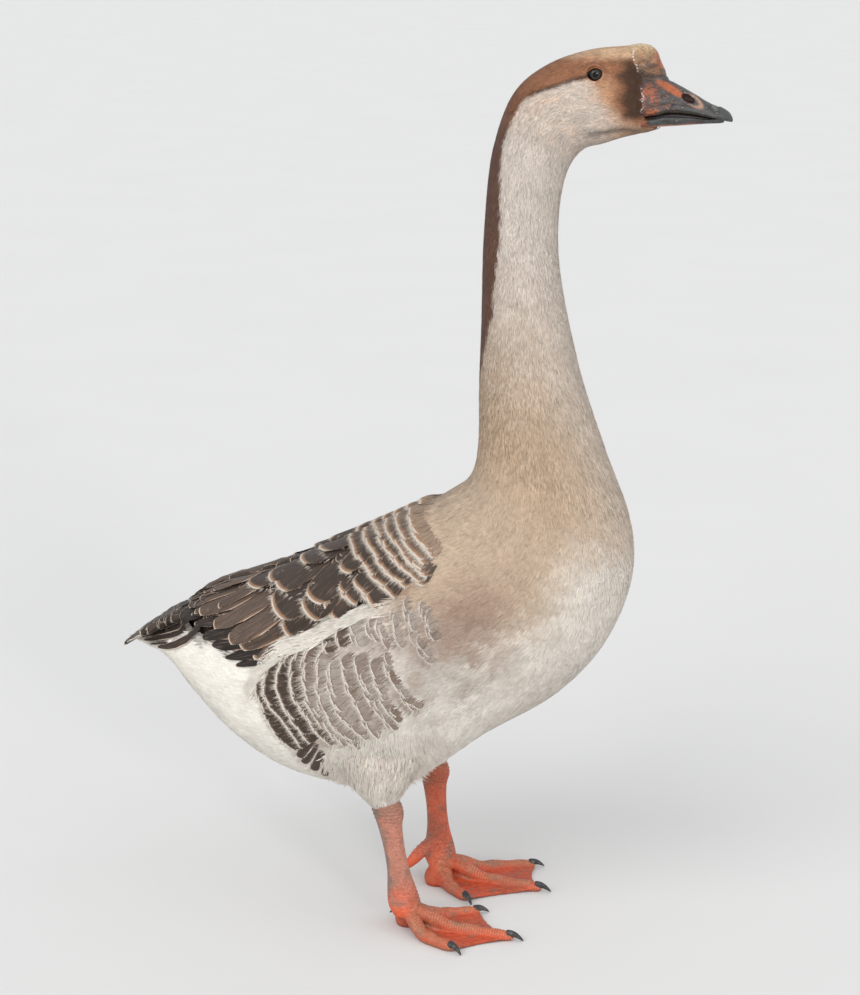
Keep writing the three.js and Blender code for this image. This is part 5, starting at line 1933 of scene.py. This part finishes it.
def make_tail():
    """The folded fan of dark quills with pale coverts under it."""
    shape = vane(40, 7, 0.4)
    coat = Coat("tail_quills", patterned=8)
    turns = np.radians(np.linspace(-104, 104, 13))
    turns = turns[np.argsort(-np.abs(turns))]
    rgb = blend("dusk", "slate", chance(np.stack([turns * 90, turns, turns], -1), 3))
    coat.lay(tail_hide, shape, 0.95 - 0.2 * np.abs(turns), turns, 62, 17, rgb, anchor=1, under=-1,
             over=1.2 - 0.3 * np.abs(turns), rounding=4, fray=1.4, camber=0.6, roll=0.6, ripple=0.4,
             edge=0.8, side_edge=(0.5, 0.0), uneven=0.9, seed=9)
    for side in SIDES.values():
        for k, (tip, root, width) in enumerate(TAIL_SIDES):
            quill(coat, shape, side, tip, root, width, blend("dusk", "slate", 0.2 * k)[None, :], under=-1,
                  over=3.2 - 0.3 * k, rounding=3, rise=0.7, fray=1.2, camber=0.9, roll=0.8, ripple=0.5,
                  edge=0.8, side_edge=(0.4, 0.0), uneven=0.9, seed=200 + k)
    # Rings of coverts over the roots of the quills: their hide, station and reach to each side.
    for k, (net, place, wide) in enumerate((
            (tail_hide, 2.3, 100), (tail_hide, 3.0, 95), (tail_hide, 3.7, 95), (tail_hide, 4.4, 90),
            (hide, 0.5, 52), (hide, 0.95, 48), (hide, 1.4, 44), (hide, 1.85, 40))):
        turns = np.radians(np.linspace(-wide, wide, 13))
        odd = chance(np.stack([turns * 50, turns * 0 + k, turns * 0], -1), 5)
        coat.lay(net, shape, place + 0.5 * odd, turns, 30, 15, blend("dusk", "slate", odd),
                 lean=0.3 * (odd - 0.5), anchor=1, under=-2, over=2.2, rounding=5, fray=1.6, camber=0.3,
                 roll=0.3, edge=0.25, side_edge=(0.8, 0.0), uneven=0.9, seed=220 + k)
    coat.build(quill_material("Tail quills", 0.9, 0.3), ["tail"], 0.3)
    under = Coat("undertail_coverts")
    random = np.random.default_rng(10)
    n = UNDERTAIL_FEATHERS
    turn = np.pi + (random.random(n) - 0.5) * 2.5
    place = 1.95 + 2.8 * random.random(n)
    under.lay(tail_hide, lock(4, 0.4), place, turn, 26, 8, blend("white", "cream", random.random(n) * 0.6),
              under=-1.5, over=1.0, stray=0.5, uneven=0.4, seed=11)
    under.build(down_material(), ["tail"])


# ---- stage
def floor_material():
    """A plain pale floor with the faintest unevenness."""
    r = Recipe("Floor")
    rgb = r.mix(r.noise(r.place(), 3.0, 3), "d9d8d6", "dddcda")
    return r.surface({"Base Color": rgb, "Roughness": 0.9, "Specular IOR Level": 0.1})


# The lights: name, strength, how wide its source looks and the way it is turned, in degrees.
LIGHTS = [
    ("key_light", 1.3, 45, (52, -18, -10)),
    ("fill_light", 0.5, 80, (55, 0, 60)),
    ("glint_light", 0.7, 10, (77, 0, 38)),  # for the glint in the eyes
]
CAMERA = {"aside": 15, "down": 13.07, "distance": 2.2, "over": 0.013, "height": 0.890, "lens": 107.75}


def make_stage():
    """A plain floor, soft light and the camera."""
    scene = bpy.context.scene
    floor = add("plane", "floor", size=120)
    floor.data.materials.append(floor_material())
    for name, strength, width, turn in LIGHTS:
        bpy.ops.object.light_add(type="SUN")
        light = named(name)
        light.data.energy, light.data.angle = strength, radians(width)
        light.rotation_euler = [radians(angle) for angle in turn]
    world = bpy.data.worlds.new("Soft room")
    world.use_nodes = True
    sky = world.node_tree.nodes["Background"].inputs
    sky["Color"].default_value, sky["Strength"].default_value = (0.95, 0.97, 1.0, 1), 0.78
    scene.world = world
    scene.view_settings.view_transform = "Standard"
    azimuth = radians(CAMERA["aside"])
    bpy.ops.object.camera_add(
        location=(CAMERA["over"] + CAMERA["distance"] * sin(azimuth),
                  -CAMERA["distance"] * cos(azimuth), CAMERA["height"]),
        rotation=(radians(90 - CAMERA["down"]), 0, azimuth))
    camera = named("camera")
    camera.data.lens, camera.data.sensor_width, camera.data.sensor_fit = CAMERA["lens"], 36, "HORIZONTAL"
    camera.data.clip_end = 200
    scene.camera = camera


# ---- the add-on
class GOOSE_OT_skin(bpy.types.Operator):
    """Add the skin of the trunk, neck, head and thighs"""

    bl_idname = "goose.skin"
    bl_label = "Skin"

    def execute(self, context):
        make_skin()
        return {"FINISHED"}


class GOOSE_OT_legs(bpy.types.Operator):
    """Add the scaly legs and webbed feet"""

    bl_idname = "goose.legs"
    bl_label = "Legs"

    def execute(self, context):
        make_legs()
        return {"FINISHED"}


class GOOSE_OT_claws(bpy.types.Operator):
    """Add the claws"""

    bl_idname = "goose.claws"
    bl_label = "Claws"

    def execute(self, context):
        make_claws()
        return {"FINISHED"}


class GOOSE_OT_bill(bpy.types.Operator):
    """Add the bill with its comb, the tongue and the knob"""

    bl_idname = "goose.bill"
    bl_label = "Bill and knob"

    def execute(self, context):
        make_bill()
        return {"FINISHED"}


class GOOSE_OT_eyes(bpy.types.Operator):
    """Add the eyes and their lids"""

    bl_idname = "goose.eyes"
    bl_label = "Eyes"

    def execute(self, context):
        make_eyes()
        return {"FINISHED"}


class GOOSE_OT_head_coat(bpy.types.Operator):
    """Add the short feathers of the head"""

    bl_idname = "goose.head_coat"
    bl_label = "Head feathers"

    def execute(self, context):
        make_head_coat()
        return {"FINISHED"}


class GOOSE_OT_neck_coat(bpy.types.Operator):
    """Add the silky feathers of the neck"""

    bl_idname = "goose.neck_coat"
    bl_label = "Neck feathers"

    def execute(self, context):
        make_neck_coat()
        return {"FINISHED"}


class GOOSE_OT_body_coat(bpy.types.Operator):
    """Add the feathers of the breast, belly, back and thighs"""

    bl_idname = "goose.body_coat"
    bl_label = "Body feathers"

    def execute(self, context):
        make_body_coat()
        return {"FINISHED"}


class GOOSE_OT_wings(bpy.types.Operator):
    """Add the feathers of the folded wings"""

    bl_idname = "goose.wings"
    bl_label = "Wings"

    def execute(self, context):
        make_wings()
        return {"FINISHED"}


class GOOSE_OT_flanks(bpy.types.Operator):
    """Add the barred feathers of the flanks"""

    bl_idname = "goose.flanks"
    bl_label = "Flanks"

    def execute(self, context):
        make_flanks()
        return {"FINISHED"}


class GOOSE_OT_tail(bpy.types.Operator):
    """Add the tail feathers"""

    bl_idname = "goose.tail"
    bl_label = "Tail"

    def execute(self, context):
        make_tail()
        return {"FINISHED"}


class GOOSE_OT_stage(bpy.types.Operator):
    """Add the floor, the lights and the camera"""

    bl_idname = "goose.stage"
    bl_label = "Stage"

    def execute(self, context):
        make_stage()
        return {"FINISHED"}


OPERATORS = (
    GOOSE_OT_skin, GOOSE_OT_legs, GOOSE_OT_claws, GOOSE_OT_bill, GOOSE_OT_eyes, GOOSE_OT_head_coat,
    GOOSE_OT_neck_coat, GOOSE_OT_body_coat, GOOSE_OT_wings, GOOSE_OT_flanks, GOOSE_OT_tail,
    GOOSE_OT_stage,
)


class GOOSE_PT_parts(bpy.types.Panel):
    """The goose's sizes, colours and pieces"""

    bl_label = "Domestic goose"
    bl_idname = "GOOSE_PT_parts"
    bl_space_type = "VIEW_3D"
    bl_region_type = "UI"
    bl_category = "Goose"

    def draw(self, context):
        for group in (context.scene.goose_sizes, context.scene.goose_colours):
            column = self.layout.column(align=True)
            for name in type(group).__annotations__:
                column.prop(group, name)
        column = self.layout.column(align=True)
        for operator in OPERATORS:
            column.operator(operator.bl_idname)


CLASSES = (GooseColours, GooseSizes, *OPERATORS, GOOSE_PT_parts)


def register():
    for made in CLASSES:
        bpy.utils.register_class(made)
    bpy.types.Scene.goose_colours = bpy.props.PointerProperty(type=GooseColours)
    bpy.types.Scene.goose_sizes = bpy.props.PointerProperty(type=GooseSizes)


def unregister():
    del bpy.types.Scene.goose_sizes
    del bpy.types.Scene.goose_colours
    for made in reversed(CLASSES):
        bpy.utils.unregister_class(made)


def main():
    register()
    bpy.ops.goose.stage()
    bpy.ops.goose.skin()
    bpy.ops.goose.legs()
    bpy.ops.goose.claws()
    bpy.ops.goose.bill()
    bpy.ops.goose.eyes()
    bpy.ops.goose.head_coat()
    bpy.ops.goose.neck_coat()
    bpy.ops.goose.body_coat()
    bpy.ops.goose.wings()
    bpy.ops.goose.flanks()
    bpy.ops.goose.tail()


if __name__ == "__main__":
    main()
